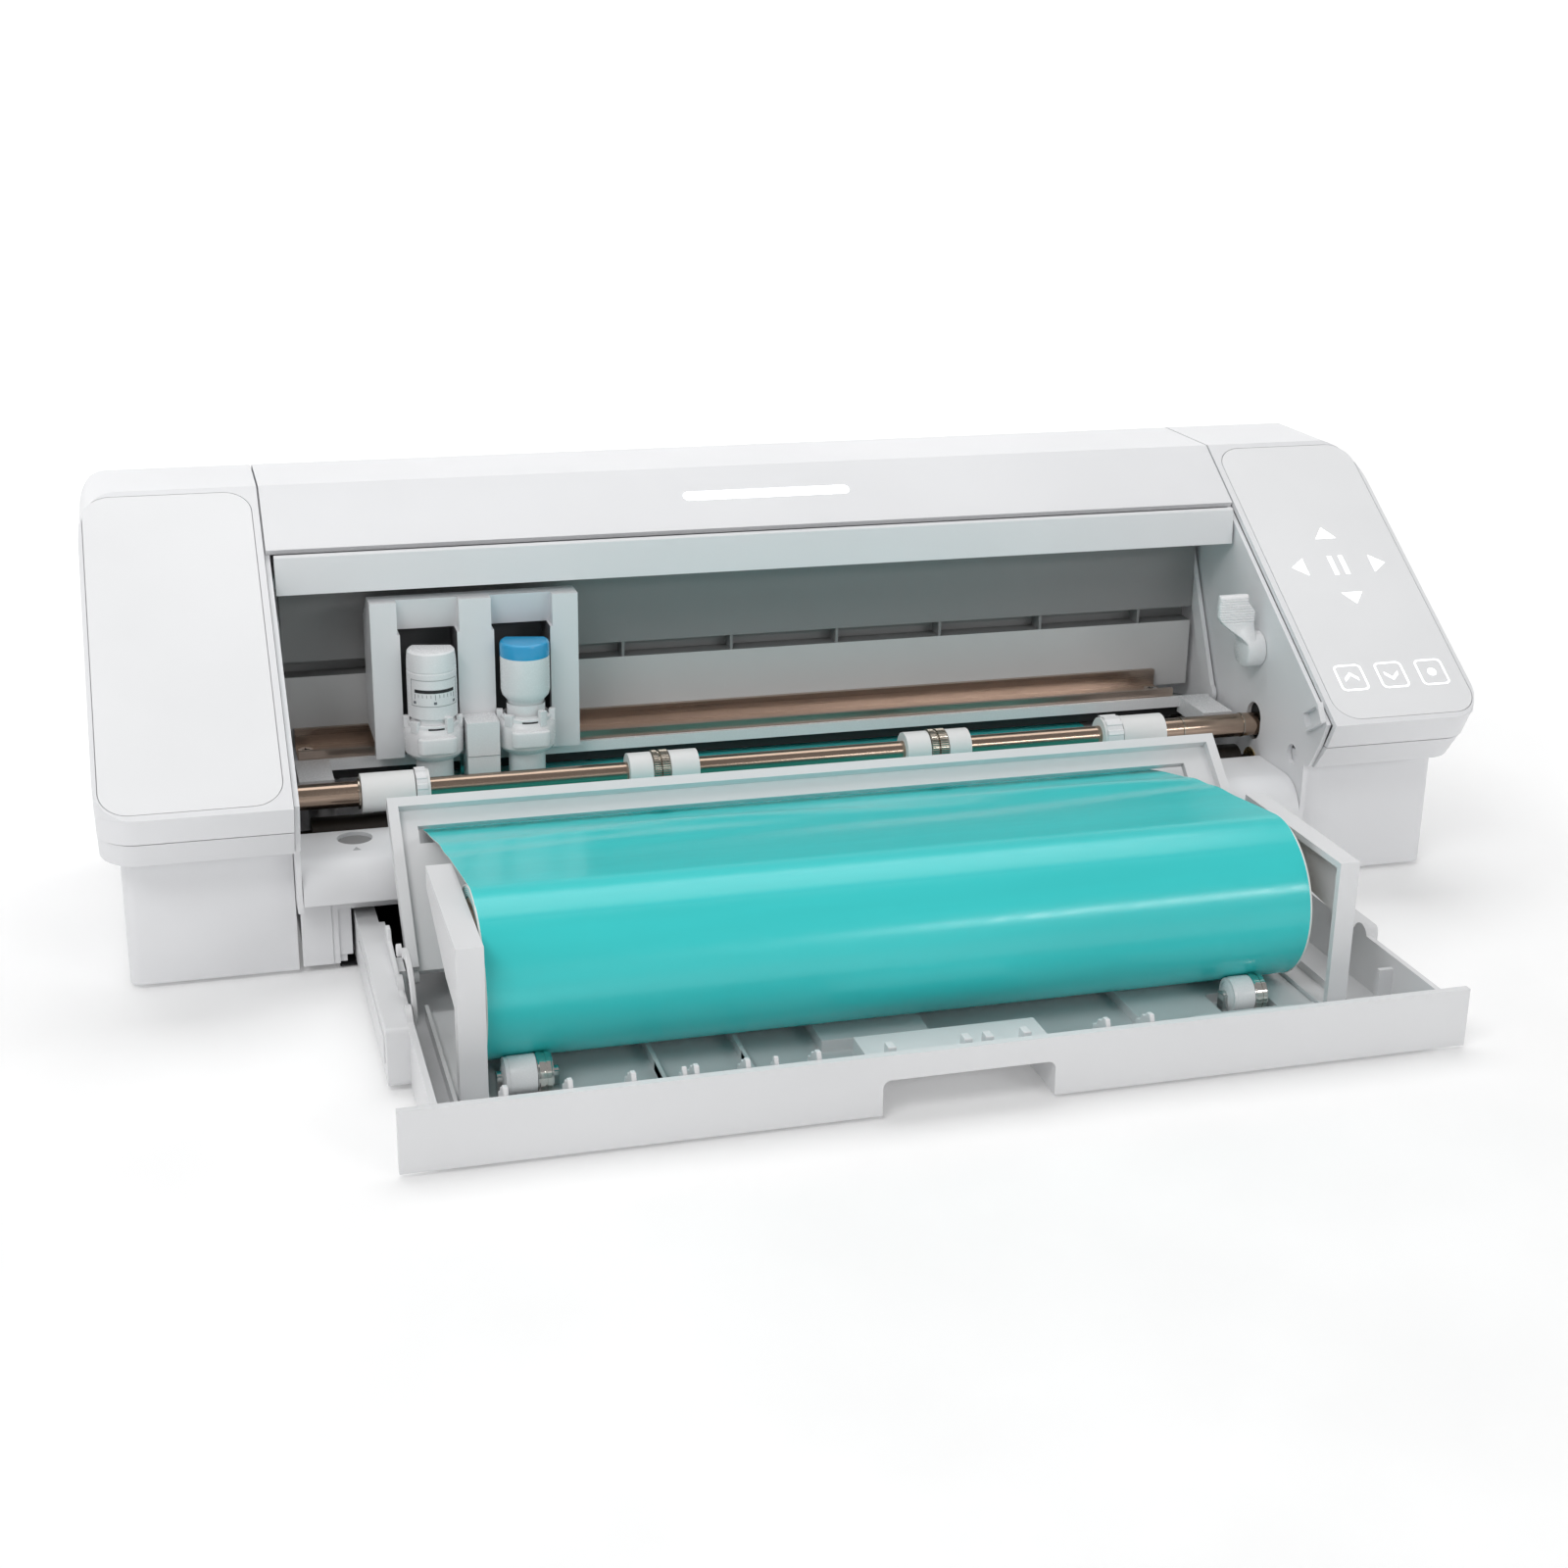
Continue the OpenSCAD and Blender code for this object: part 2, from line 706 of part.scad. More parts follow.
module pinch_shaft() color("rosybrown") translate([0, pinch_y, pinch_z]) {
    rod_x(-plate_out - 6, plate_out + 6, pinch_shaft_d - 0.8);
    for (s = [[-plate_out - 6, -183.9], [166.1, plate_out + 6]]) rod_x(s[0], s[1], pinch_shaft_d + 0.8);
}

// White rubber sleeves, and the knurled metal rings between them: [from, to] along X
roller_spans = [[-183.8, -162.4], [-162, -156.4], [-74.3, -64.6], [-57, -45],
    [46.2, 56.7], [65, 75], [137, 145.4], [145.8, 166]];
ring_spans = [[-64.4, -57.2], [56.9, 64.8]];
ring_d = 17.2;

module pinch_rollers() color("white") translate([0, pinch_y, pinch_z]) for (s = roller_spans)
    ring_x(s[0], s[1], pinch_roller_d, pinch_shaft_d - 0.8);

module pinch_rings() color("silver") translate([0, pinch_y, pinch_z]) for (s = ring_spans)
    ring_x(s[0], s[1], ring_d, pinch_shaft_d - 0.8);

module release_lever() color("white") {
    translate([0, lever_y, lever_z]) {
        rod_x(203, plate_in - 0.2, 15.6);
        rod_x(plate_in - 0.3, plate_out + 4, 8);
        rod_x(plate_out + 0.5, plate_out + 4, 14);
    }
    intersection() {
        along_y(lever_y - 2.5, lever_y + 2) polygon([[190, lever_z + 15], [190, lever_z + 25],
            [204, lever_z + 25.6], [204.4, lever_z + 22], [arm_in - 0.4, lever_z + 16],
            [arm_in - 0.4, lever_z], [203, lever_z], [201, lever_z + 5], [197.5, lever_z + 8]]);
        translate([0, lid_axis_y, lid_axis_z]) rod_x(180, 220, 140.4);
    }
}

// ---------- roll feeder ----------

module drawer_tray() color("whitesmoke") {
    difference() {
        box([tray_x0, drawer_y + 3.1, drawer_z0 + 0.3], [tray_x1, tray_back, drawer_z1]);
        box([tray_x0 + 2.2, drawer_y + 1, drawer_z0 + 2.5], [tray_x1 - 2.2, tray_back - 2.2, 40]);
        box([-29, drawer_y + 1, 0], [34.8, drawer_y + 26, 16.4]);
        box([tray_x0 + 2.2, tray_back - 3, 8], [tray_x1 - 2.2, tray_back + 1, 40]);
    }
    difference() {
        box([-31.2, drawer_y + 3.1, drawer_z0 + 0.4], [37, drawer_y + 28.2, 18.6]);
        box([-29, drawer_y + 1, 0], [34.8, drawer_y + 26, 16.4]);
    }
    for (x = [-99, -67]) box([x, drawer_y + 3.1, drawer_z0 + 2.4], [x + 1.6, -60, 8]);
    box([-37, -121, drawer_z0 + 2.4], [4, -62, 9]);
    difference() {
        linear_extrude_between(drawer_z0 + 2.4, 8) round_rect([84, -138], [160, -58], 14);
        box([154, -150, 0], [161, -50, 20]);
        for (s = [-1, 1]) translate([128.2, roll_y + s * wheel_y, 3]) linear_extrude(9)
            round_rect([-11.5, -9.5], [11.5, 9.5], 2);
    }
    box([tray_x1 - 8, -136, drawer_z0 + 2.4], [tray_x1 - 2, -134, 20]);
    along_x(tray_x1 - 2.2, tray_x1) translate([-110, 23]) circle(5);
    along_x(tray_x0, tray_x0 + 2.2) for (y = [-70, -96]) translate([y, 21]) circle(7);
    for (x = [-172.5, 154.4]) difference() {
        box([x, -142, 4.1], [x + 12.6, -58, 9.8]);
        box([x + 1.4, -143, 6.5], [x + 11.9, -57, 12]);
    }
    for (x = [flap_x0 - 4.4, flap_x1 + 1.4]) difference() {
        box([x, -56, 4.1], [x + 3, -43, 23.5]);
        translate([0, flap_py, flap_pz]) rod_x(x - 1, x + 4, 4.1);
    }
}

module drawer_front() color("whitesmoke") difference() {
    box([drawer_x - drawer_w / 2, drawer_y, drawer_z0], [drawer_x + drawer_w / 2,
        drawer_y + 3, drawer_z1]);
    along_y(drawer_y - 1, drawer_y + 4) {
        translate([-29, -8]) square([63.8, 20]);
        round_rect([-29, -8], [34.8, 15], 3);
    }
}

// Slide members along both sides of the tray
module drawer_rails() color("whitesmoke") for (x = [[tray_x0 - 8, tray_x0], [tray_x1, tray_x1 + 7.5]])
    along_x(x[0], x[1]) round_rect([-107, 2.2], [40, 24.4], 2.5);

// Upright side plates that keep the roll in line
guide_x = [[-170.4, -160.8, 1], [156.5, 164.4, 0]];

module roll_guides() color("white") for (g = guide_x) {
    inner = g[2] == 1 ? g[0] : g[1] - 2.4;
    along_x(inner, inner + 2.4) guide_web();
    along_x(g[0], g[1]) guide_flange();
}

module guide_web() {
    polygon([[-138.9, 66.8], [-61.5, 66.8], [-61.5, 58], [-110, 44], [-131, 42], [-131, 6.5],
        [-138.9, 6.5]]);
}

module guide_flange() {
    polygon([[-138.9, 66.8], [-61.5, 66.8], [-61.5, 64.2], [-136.2, 64.2], [-136.2, 6.5],
        [-138.9, 6.5]]);
}

// Raised flap with a rim and the slot that feeds the vinyl in
module flap() color("whitesmoke") translate([0, flap_py, flap_pz]) rotate([flap_a, 0, 0]) {
    difference() {
        box([flap_x0, 2, -flap_t / 2], [flap_x1, flap_len, flap_t / 2 + 4]);
        box([flap_x0 + 4, 1, flap_t / 2], [flap_x1 - 4, flap_len - 4, 20]);
        box([-166.3, slot_s - slot_half, -5], [157, slot_s + slot_half, 10]);
    }
    box([flap_x0, -0.5, -1.9], [flap_x0 + 4, 2.2, 1.9]);
    box([flap_x1 - 4, -0.5, -1.9], [flap_x1, 2.2, 1.9]);
    rod_x(flap_x0 - 4, flap_x0 + 4, 4);
    rod_x(flap_x1 - 4, flap_x1 + 4, 4);
}

// Cradle wheels: hub and metal ring spans along X, on pins in small posts
hub_spans = [[-153.6, -142.6], [121.6, 130]];
tyre_spans = [[-142.5, -137], [130.1, 134.8]];

module wheels() {
    for (s = hub_spans) ring_x(s[0], s[1], wheel_d - 0.6, 4.08);
    for (s = tyre_spans) ring_x(s[0], s[1], wheel_d, 4.08);
}

module front_wheels() color("white") translate([0, roll_y - wheel_y, wheel_z]) wheels();

module rear_wheels() color("white") translate([0, roll_y + wheel_y, wheel_z]) wheels();

module wheel_pins() color("silver") for (s = [-1, 1], k = [0, 1])
    translate([0, roll_y + s * wheel_y, 0]) {
        translate([0, 0, wheel_z]) rod_x(hub_spans[k][0] - 2.5, tyre_spans[k][1] + 2.5, 4);
        for (x = [hub_spans[k][0] - 2.6, tyre_spans[k][1] + 0.6])
            box([x, -2.4, drawer_z0 + 2.5], [x + 2, 2.4, wheel_z + 1]);
    }

module vinyl_roll() color("turquoise") translate([media_x, roll_y, roll_z])
    ring_x(-media_w / 2, media_w / 2, roll_d, roll_d - 8);

module roll_core() color("tan") translate([media_x, roll_y, roll_z])
    ring_x(-media_w / 2 + 0.5, media_w / 2 - 0.5, roll_d - 8, roll_d - 12);

// Vinyl from the roll through the flap's slot to the cutting strip: two smooth curves
sheet_slot = [-5, 57.6];
sheet_end = [32, media_z];
sheet_off = 84;
sheet_slot_a = -14;

function along(p, a, d) = p + d * [cos(a), sin(a)];
function bez(p, q, t) = pow(1 - t, 3) * p[0] + 3 * t * pow(1 - t, 2) * p[1]
    + 3 * t * t * (1 - t) * q[0] + pow(t, 3) * q[1];
function roll_point(a) = [roll_y, roll_z] + (roll_d / 2 + 0.3) * [cos(a), sin(a)];
function sheet_path() = concat(
    [for (a = [128:-8:92]) roll_point(a)],
    [for (k = [0:9]) bez([roll_point(sheet_off), along(roll_point(sheet_off), sheet_off - 90, 30)],
        [along(sheet_slot, sheet_slot_a, -30), sheet_slot], k / 10)],
    [for (k = [0:8]) bez([sheet_slot, along(sheet_slot, sheet_slot_a, 13)],
        [sheet_end - [15, 0], sheet_end], k / 8)],
    [[104, media_z]]);

module vinyl_sheet() color("turquoise") along_x(media_x - media_w / 2, media_x + media_w / 2) {
    path = sheet_path();
    n = len(path);
    polygon(concat(path, [for (k = [n - 1:-1:0]) path[k] + sheet_t * side_of(path, k)]));
}

// Unit vector square to the path at its point k, on the upper side
function side_of(path, k) = let (
    n = len(path),
    d = path[min(k + 1, n - 1)] - path[max(k - 1, 0)]
) [-d[1], d[0]] / norm(d);

base_pan();
rubber_feet();
left_pedestal();
right_pedestal();
left_lower_shell();
right_lower_shell();
left_upper_shell();
right_upper_shell();
left_top_panel();
control_panel();
touch_icons();
top_strip();
light_bar();
rear_cover();
back_wall();
left_side_plate();
right_side_plate();
carriage_rail();
rail_screws();
sheet_guide();
front_deck();
platen();
feed_bearings();
feed_motor();
carriage_motor();
idler_post();
control_board();
power_inlet();
usb_port();
drive_belt();
lid();
carriage_cover();
carriage_block();
sensor_block();
blade_tool();
blade_tool_clamp();
pen_tool();
pen_tool_cap();
pen_tool_clamp();
drive_pulley();
idler_pulley();
feed_roller();
feed_gear();
motor_pinion();
pinch_bearings();
pinch_shaft();
pinch_rollers();
pinch_rings();
release_lever();
drawer_tray();
drawer_front();
drawer_rails();
roll_guides();
flap();
front_wheels();
rear_wheels();
wheel_pins();
vinyl_roll();
roll_core();
vinyl_sheet();
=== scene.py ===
"""Looks of a desktop vinyl cutter with a roll feeder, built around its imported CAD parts."""

import math

import bmesh
import bpy
from mathutils import Matrix, Vector


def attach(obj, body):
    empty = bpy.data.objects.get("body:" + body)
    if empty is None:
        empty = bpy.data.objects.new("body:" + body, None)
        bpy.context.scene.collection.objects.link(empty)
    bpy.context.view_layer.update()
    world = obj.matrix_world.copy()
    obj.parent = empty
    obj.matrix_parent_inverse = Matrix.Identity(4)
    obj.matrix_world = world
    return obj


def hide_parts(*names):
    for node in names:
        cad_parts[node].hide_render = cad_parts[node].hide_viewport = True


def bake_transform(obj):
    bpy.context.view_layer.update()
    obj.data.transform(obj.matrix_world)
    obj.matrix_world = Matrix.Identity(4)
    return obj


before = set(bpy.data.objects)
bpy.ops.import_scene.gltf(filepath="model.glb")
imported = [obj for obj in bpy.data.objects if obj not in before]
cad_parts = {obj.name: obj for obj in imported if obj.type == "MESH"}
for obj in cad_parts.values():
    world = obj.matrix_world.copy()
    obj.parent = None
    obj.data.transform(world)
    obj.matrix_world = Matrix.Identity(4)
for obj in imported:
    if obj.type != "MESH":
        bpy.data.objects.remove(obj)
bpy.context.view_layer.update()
MM = 0.001
TAU = 2 * math.pi

# Sizes shared with the CAD source, in millimetres
ROLL_CENTRE = (-4.6, -101, 40.6)
ROLL_R = 31
MEDIA_X = (-159.6, 150.4)
MEDIA_Z = 50.9
PINCH = (40, 60.1)
TOOL_X = (-150.8, -112.2)
TOOL_Y = 63.5
BARREL_R = 10.2
LEVER = (41, 95)
AXLES = {"front": -125.7, "rear": -76.3}
AXLE_Z = 11.5
TRAY_FLOOR = 4.2
FRONT_INNER = -165
DIMPLE = (-188.5, 22)


# ---------- materials ----------

def node_material(name):
    """An empty node material, its tree and its principled shader."""
    material = bpy.data.materials.new(name)
    material.use_nodes = True
    tree = material.node_tree
    return material, tree, tree.nodes["Principled BSDF"]


def noise(tree, scale, detail=4.0, roughness=0.55, stretch=(1, 1, 1)):
    """A noise texture in object space, with its scale per metre."""
    coords = tree.nodes.new("ShaderNodeTexCoord")
    mapping = tree.nodes.new("ShaderNodeMapping")
    mapping.inputs["Scale"].default_value = stretch
    texture = tree.nodes.new("ShaderNodeTexNoise")
    texture.inputs["Scale"].default_value = scale
    texture.inputs["Detail"].default_value = detail
    texture.inputs["Roughness"].default_value = roughness
    tree.links.new(coords.outputs["Object"], mapping.inputs["Vector"])
    tree.links.new(mapping.outputs["Vector"], texture.inputs["Vector"])
    return texture


def color_between(tree, factor, low, high, start=0.35, end=0.65):
    """A ramp from one colour to another along a texture's value."""
    ramp = tree.nodes.new("ShaderNodeValToRGB")
    ramp.color_ramp.elements[0].position = start
    ramp.color_ramp.elements[0].color = (*low, 1)
    ramp.color_ramp.elements[1].position = end
    ramp.color_ramp.elements[1].color = (*high, 1)
    tree.links.new(factor, ramp.inputs["Fac"])
    return ramp.outputs["Color"]


def value_between(tree, factor, low, high):
    """Maps a 0 to 1 texture value to the range low to high."""
    mapped = tree.nodes.new("ShaderNodeMapRange")
    mapped.inputs["From Min"].default_value = 0.3
    mapped.inputs["From Max"].default_value = 0.7
    mapped.inputs["To Min"].default_value = low
    mapped.inputs["To Max"].default_value = high
    tree.links.new(factor, mapped.inputs["Value"])
    return mapped.outputs["Result"]


def bump(tree, shader, height, strength, distance):
    """Adds a height texture as fine relief."""
    relief = tree.nodes.new("ShaderNodeBump")
    relief.inputs["Strength"].default_value = strength
    relief.inputs["Distance"].default_value = distance
    tree.links.new(height, relief.inputs["Height"])
    tree.links.new(relief.outputs["Normal"], shader.inputs["Normal"])


def scaled(color, k):
    """A colour made lighter or darker."""
    return tuple(min(1.0, c * k) for c in color)


def plastic(name, color, rough=0.42, grain=2600, relief=0.12):
    """Moulded plastic: fine spark-eroded grain and a faint unevenness of tone."""
    material, tree, shader = node_material(name)
    cloud = noise(tree, 9, 3)
    tree.links.new(color_between(tree, cloud.outputs["Fac"], scaled(color, 0.975), scaled(color, 1.015)),
                   shader.inputs["Base Color"])
    fine = noise(tree, grain, 2)
    tree.links.new(value_between(tree, fine.outputs["Fac"], rough - 0.05, rough + 0.05),
                   shader.inputs["Roughness"])
    bump(tree, shader, fine.outputs["Fac"], relief, 0.00005)
    shader.inputs["IOR"].default_value = 1.47
    return material


def rubber(name, color, rough=0.72):
    """Matt rubber with a soft mottled surface."""
    material, tree, shader = node_material(name)
    mottle = noise(tree, 700, 5)
    tree.links.new(color_between(tree, mottle.outputs["Fac"], scaled(color, 0.9), scaled(color, 1.1)),
                   shader.inputs["Base Color"])
    tree.links.new(value_between(tree, mottle.outputs["Fac"], rough - 0.08, rough + 0.08),
                   shader.inputs["Roughness"])
    bump(tree, shader, mottle.outputs["Fac"], 0.35, 0.0001)
    return material


def metal(name, color, rough=0.25, stretch=(1, 1, 1), lines=900):
    """Machined metal, its fine lines drawn out along the axis with the small stretch value."""
    material, tree, shader = node_material(name)
    grain = noise(tree, lines, 4, 0.6, stretch)
    tree.links.new(color_between(tree, grain.outputs["Fac"], scaled(color, 0.93), scaled(color, 1.04)),
                   shader.inputs["Base Color"])
    tree.links.new(value_between(tree, grain.outputs["Fac"], rough - 0.04, rough + 0.05),
                   shader.inputs["Roughness"])
    shader.inputs["Metallic"].default_value = 1.0
    bump(tree, shader, grain.outputs["Fac"], 0.15, 0.00002)
    return material


def vinyl_film(name, color):
    """Satin vinyl film: faint long ripples along the roll and a clear gloss."""
    material, tree, shader = node_material(name)
    streak = noise(tree, 60, 3, 0.5, (0.08, 1, 1))
    tree.links.new(color_between(tree, streak.outputs["Fac"], scaled(color, 0.96), scaled(color, 1.04)),
                   shader.inputs["Base Color"])
    fine = noise(tree, 420, 2, 0.5, (0.3, 1, 1))
    tree.links.new(value_between(tree, fine.outputs["Fac"], 0.17, 0.26), shader.inputs["Roughness"])
    bump(tree, shader, streak.outputs["Fac"], 0.12, 0.0004)
    shader.inputs["IOR"].default_value = 1.5
    return material


def wound_end(name, film, liner):
    """End of a wound roll: thin rings of film and liner round the roll's axis."""
    material, tree, shader = node_material(name)
    coords = tree.nodes.new("ShaderNodeTexCoord")
    offset = tree.nodes.new("ShaderNodeVectorMath")
    offset.operation = "SUBTRACT"
    offset.inputs[1].default_value = [v * MM for v in ROLL_CENTRE]
    flat = tree.nodes.new("ShaderNodeVectorMath")
    flat.operation = "MULTIPLY"
    flat.inputs[1].default_value = (0, 1, 1)
    wave = tree.nodes.new("ShaderNodeTexWave")
    wave.wave_type = "RINGS"
    wave.rings_direction = "SPHERICAL"
    wave.inputs["Scale"].default_value = 420
    wave.inputs["Distortion"].default_value = 0.6
    tree.links.new(coords.outputs["Object"], offset.inputs[0])
    tree.links.new(offset.outputs["Vector"], flat.inputs[0])
    tree.links.new(flat.outputs["Vector"], wave.inputs["Vector"])
    tree.links.new(color_between(tree, wave.outputs["Fac"], film, liner, 0.3, 0.8),
                   shader.inputs["Base Color"])
    shader.inputs["Roughness"].default_value = 0.55
    bump(tree, shader, wave.outputs["Fac"], 0.3, 0.0001)
    return material


def lit(name, color, strength):
    """A white lamp window, slightly uneven as it is lit from behind."""
    material, tree, shader = node_material(name)
    patch = noise(tree, 300, 2)
    glow = color_between(tree, patch.outputs["Fac"], scaled(color, 0.94), color)
    tree.links.new(glow, shader.inputs["Base Color"])
    tree.links.new(glow, shader.inputs["Emission Color"])
    shader.inputs["Emission Strength"].default_value = strength
    return material


def cardboard(name, color):
    """Pale wound board with short fibres."""
    material, tree, shader = node_material(name)
    fibre = noise(tree, 500, 6, 0.7, (1, 0.3, 1))
    tree.links.new(color_between(tree, fibre.outputs["Fac"], scaled(color, 0.8), scaled(color, 1.1)),
                   shader.inputs["Base Color"])
    shader.inputs["Roughness"].default_value = 0.85
    bump(tree, shader, fibre.outputs["Fac"], 0.4, 0.0001)
    return material


WHITE = plastic("white_shell", (0.78, 0.785, 0.80))
TRIM = plastic("trim_grey", (0.76, 0.765, 0.78), 0.45)
PANEL = plastic("panel_white", (0.82, 0.825, 0.835), 0.42, 1800, 0.03)
INNER = plastic("inner_grey", (0.62, 0.62, 0.62), 0.5)
# Dark grey: the platen's colour, and painted shade on the upper back wall, the inner face of the left side
# plate and the dimple in the front deck.
SHADED = plastic("shaded_grey", (0.27, 0.27, 0.272), 0.5)
FEEDER = plastic("feeder_white", (0.74, 0.745, 0.755), 0.4, 2200, 0.08)
BRIGHT = plastic("bright_white", (0.84, 0.84, 0.85), 0.26, 2200, 0.05)
BLUE = plastic("cap_blue", (0.035, 0.36, 0.66), 0.2, 1500, 0.03)
# Near black as painted shade: the drawer bay, the underside of the base pan, screw recesses, tool slits and
# windows, and the pinch bearings behind the shaft slots.
PAINTED_SHADE_BLACK = plastic("dark_slot", (0.02, 0.02, 0.022), 0.6)
SHADE = plastic("tool_bay", (0.10, 0.10, 0.105), 0.6)
GREY_INK = plastic("grey_ink", (0.16, 0.17, 0.19), 0.5)
LINE = plastic("grey_line", (0.42, 0.43, 0.44), 0.5)
BOARD = plastic("board_green", (0.02, 0.17, 0.08), 0.3)
FOOT = rubber("foot_rubber", (0.03, 0.03, 0.03))
BELT = rubber("belt_rubber", (0.015, 0.015, 0.016))
ROLLER = plastic("roller_rubber", (0.84, 0.84, 0.835), 0.5, 900, 0.05)
SHAFT = metal("bronze_shaft", (0.40, 0.30, 0.235), 0.2, (0.05, 1, 1), 260)
RAIL = metal("bronze_rail", (0.50, 0.405, 0.345), 0.3, (0.004, 1, 1), 2600)
GRIT = metal("grit_steel", (0.045, 0.04, 0.036), 0.5, (1, 1, 1), 2500)
CHROME = metal("chrome", (0.72, 0.70, 0.66), 0.07, (0.05, 1, 1), 200)
STEEL = metal("steel", (0.66, 0.65, 0.64), 0.16, (0.05, 1, 1), 300)
KNURL = metal("knurled_steel", (0.38, 0.34, 0.29), 0.22, (1, 1, 1), 900)
BRASS = metal("brass", (0.75, 0.57, 0.28), 0.28)
MOTOR = metal("motor_case", (0.05, 0.05, 0.055), 0.45)
VINYL = vinyl_film("vinyl", (0.045, 0.62, 0.62))
ROLL_END = wound_end("wound_end", (0.06, 0.50, 0.50), (0.72, 0.74, 0.73))
LINER = plastic("liner_edge", (0.78, 0.79, 0.77), 0.5, 1500, 0.03)
CARD = cardboard("card", (0.62, 0.54, 0.43))
LIT = lit("lit_mark", (0.97, 0.985, 1.0), 1.3)

MATERIAL_OF = {
    "base_pan": WHITE, "rubber_feet": FOOT, "left_pedestal": WHITE, "right_pedestal": WHITE,
    "left_lower_shell": TRIM, "right_lower_shell": TRIM, "left_upper_shell": WHITE,
    "right_upper_shell": WHITE, "left_top_panel": PANEL, "control_panel": PANEL,
    "touch_icons": LIT, "top_strip": WHITE, "light_bar": LIT, "rear_cover": WHITE,
    "back_wall": INNER, "left_side_plate": WHITE, "right_side_plate": WHITE,
    "carriage_rail": RAIL, "rail_screws": STEEL, "sheet_guide": BRIGHT, "front_deck": WHITE,
    "platen": SHADED, "feed_bearings": BRASS, "feed_motor": MOTOR, "carriage_motor": MOTOR,
    "idler_post": STEEL, "control_board": BOARD, "power_inlet": MOTOR, "usb_port": STEEL,
    "drive_belt": BELT, "lid": WHITE, "carriage_cover": WHITE, "carriage_block": STEEL,
    "sensor_block": BRIGHT, "blade_tool": BRIGHT, "blade_tool_clamp": BRIGHT,
    "pen_tool": BRIGHT, "pen_tool_cap": BLUE, "pen_tool_clamp": BRIGHT, "drive_pulley": STEEL,
    "idler_pulley": STEEL, "feed_roller": GRIT, "feed_gear": BRIGHT, "motor_pinion": BRASS,
    # Painted shade: the pinch bearings are near black so the slots round the shaft ends read as dark holes.
    "pinch_bearings": PAINTED_SHADE_BLACK, "pinch_shaft": SHAFT, "pinch_rollers": ROLLER,
    "pinch_rings": KNURL, "release_lever": BRIGHT, "drawer_tray": FEEDER,
    "drawer_front": FEEDER, "drawer_rails": FEEDER, "roll_guides": FEEDER, "flap": FEEDER,
    "front_wheels": BRIGHT, "rear_wheels": BRIGHT, "wheel_pins": STEEL, "vinyl_roll": VINYL,
    "roll_core": CARD, "vinyl_sheet": VINYL,
}

BEVELS = {
    "left_upper_shell": 0.6, "right_upper_shell": 0.6, "left_lower_shell": 0.6,
    "right_lower_shell": 0.6, "left_pedestal": 0.8, "right_pedestal": 0.8, "lid": 0.6,
    "touch_icons": 0.1, "light_bar": 0.1, "left_top_panel": 0.35, "control_panel": 0.1,
    "carriage_cover": 1.0, "roll_guides": 1.1, "flap": 0.8, "drawer_front": 0.5, "release_lever": 1.2,
    "pen_tool_cap": 1.0, "sensor_block": 1.4, "drawer_rails": 1.2, "front_wheels": 0.7,
    "rear_wheels": 0.7, "front_deck": 0.8, "pinch_rollers": 0.6, "blade_tool": 0.7, "pen_tool": 0.7,
    "blade_tool_clamp": 1.0, "pen_tool_clamp": 1.0, "vinyl_roll": 0.2,
}


def dress(name, obj):
    """Gives a CAD node its material and softly broken edges."""
    obj.data.materials.clear()
    obj.data.materials.append(MATERIAL_OF[name])
    edge = obj.modifiers.new("edge", "BEVEL")
    edge.width = BEVELS.get(name, 0.3) * MM
    edge.segments = 3
    edge.limit_method = "ANGLE"
    edge.angle_limit = math.radians(35)
    edge.harden_normals = True
    edge.use_clamp_overlap = True


# ---------- stage, light and camera ----------

def photo_camera():
    """A camera 0.9 m away to the front left, looking down at about 20 degrees."""
    yaw, pitch, roll = 0.2793, 0.3431, 0.0153
    place = (-0.25548, -0.82794, 0.37192)
    forward = Vector((math.sin(yaw) * math.cos(pitch), math.cos(yaw) * math.cos(pitch), -math.sin(pitch)))
    level = forward.cross(Vector((0, 0, 1))).normalized()
    above = level.cross(forward)
    right = math.cos(roll) * level + math.sin(roll) * above
    up = right.cross(forward)
    camera = bpy.data.objects.new("camera", bpy.data.cameras.new("camera"))
    bpy.context.collection.objects.link(camera)
    camera.matrix_world = Matrix((
        (right.x, up.x, -forward.x, place[0]),
        (right.y, up.y, -forward.y, place[1]),
        (right.z, up.z, -forward.z, place[2]),
        (0, 0, 0, 1)))
    camera.data.sensor_width = 36
    camera.data.lens = 51.85
    camera.data.clip_start = 0.01
    bpy.context.scene.camera = camera


def softbox(name, place, target, width, height, watts):
    """A rectangular area lamp that faces a target."""
    lamp = bpy.data.lights.new(name, "AREA")
    lamp.shape = "RECTANGLE"
    lamp.size = width
    lamp.size_y = height
    lamp.energy = watts
    obj = bpy.data.objects.new(name, lamp)
    bpy.context.collection.objects.link(obj)
    obj.location = place
    obj.rotation_euler = (Vector(target) - Vector(place)).to_track_quat("-Z", "Y").to_euler()


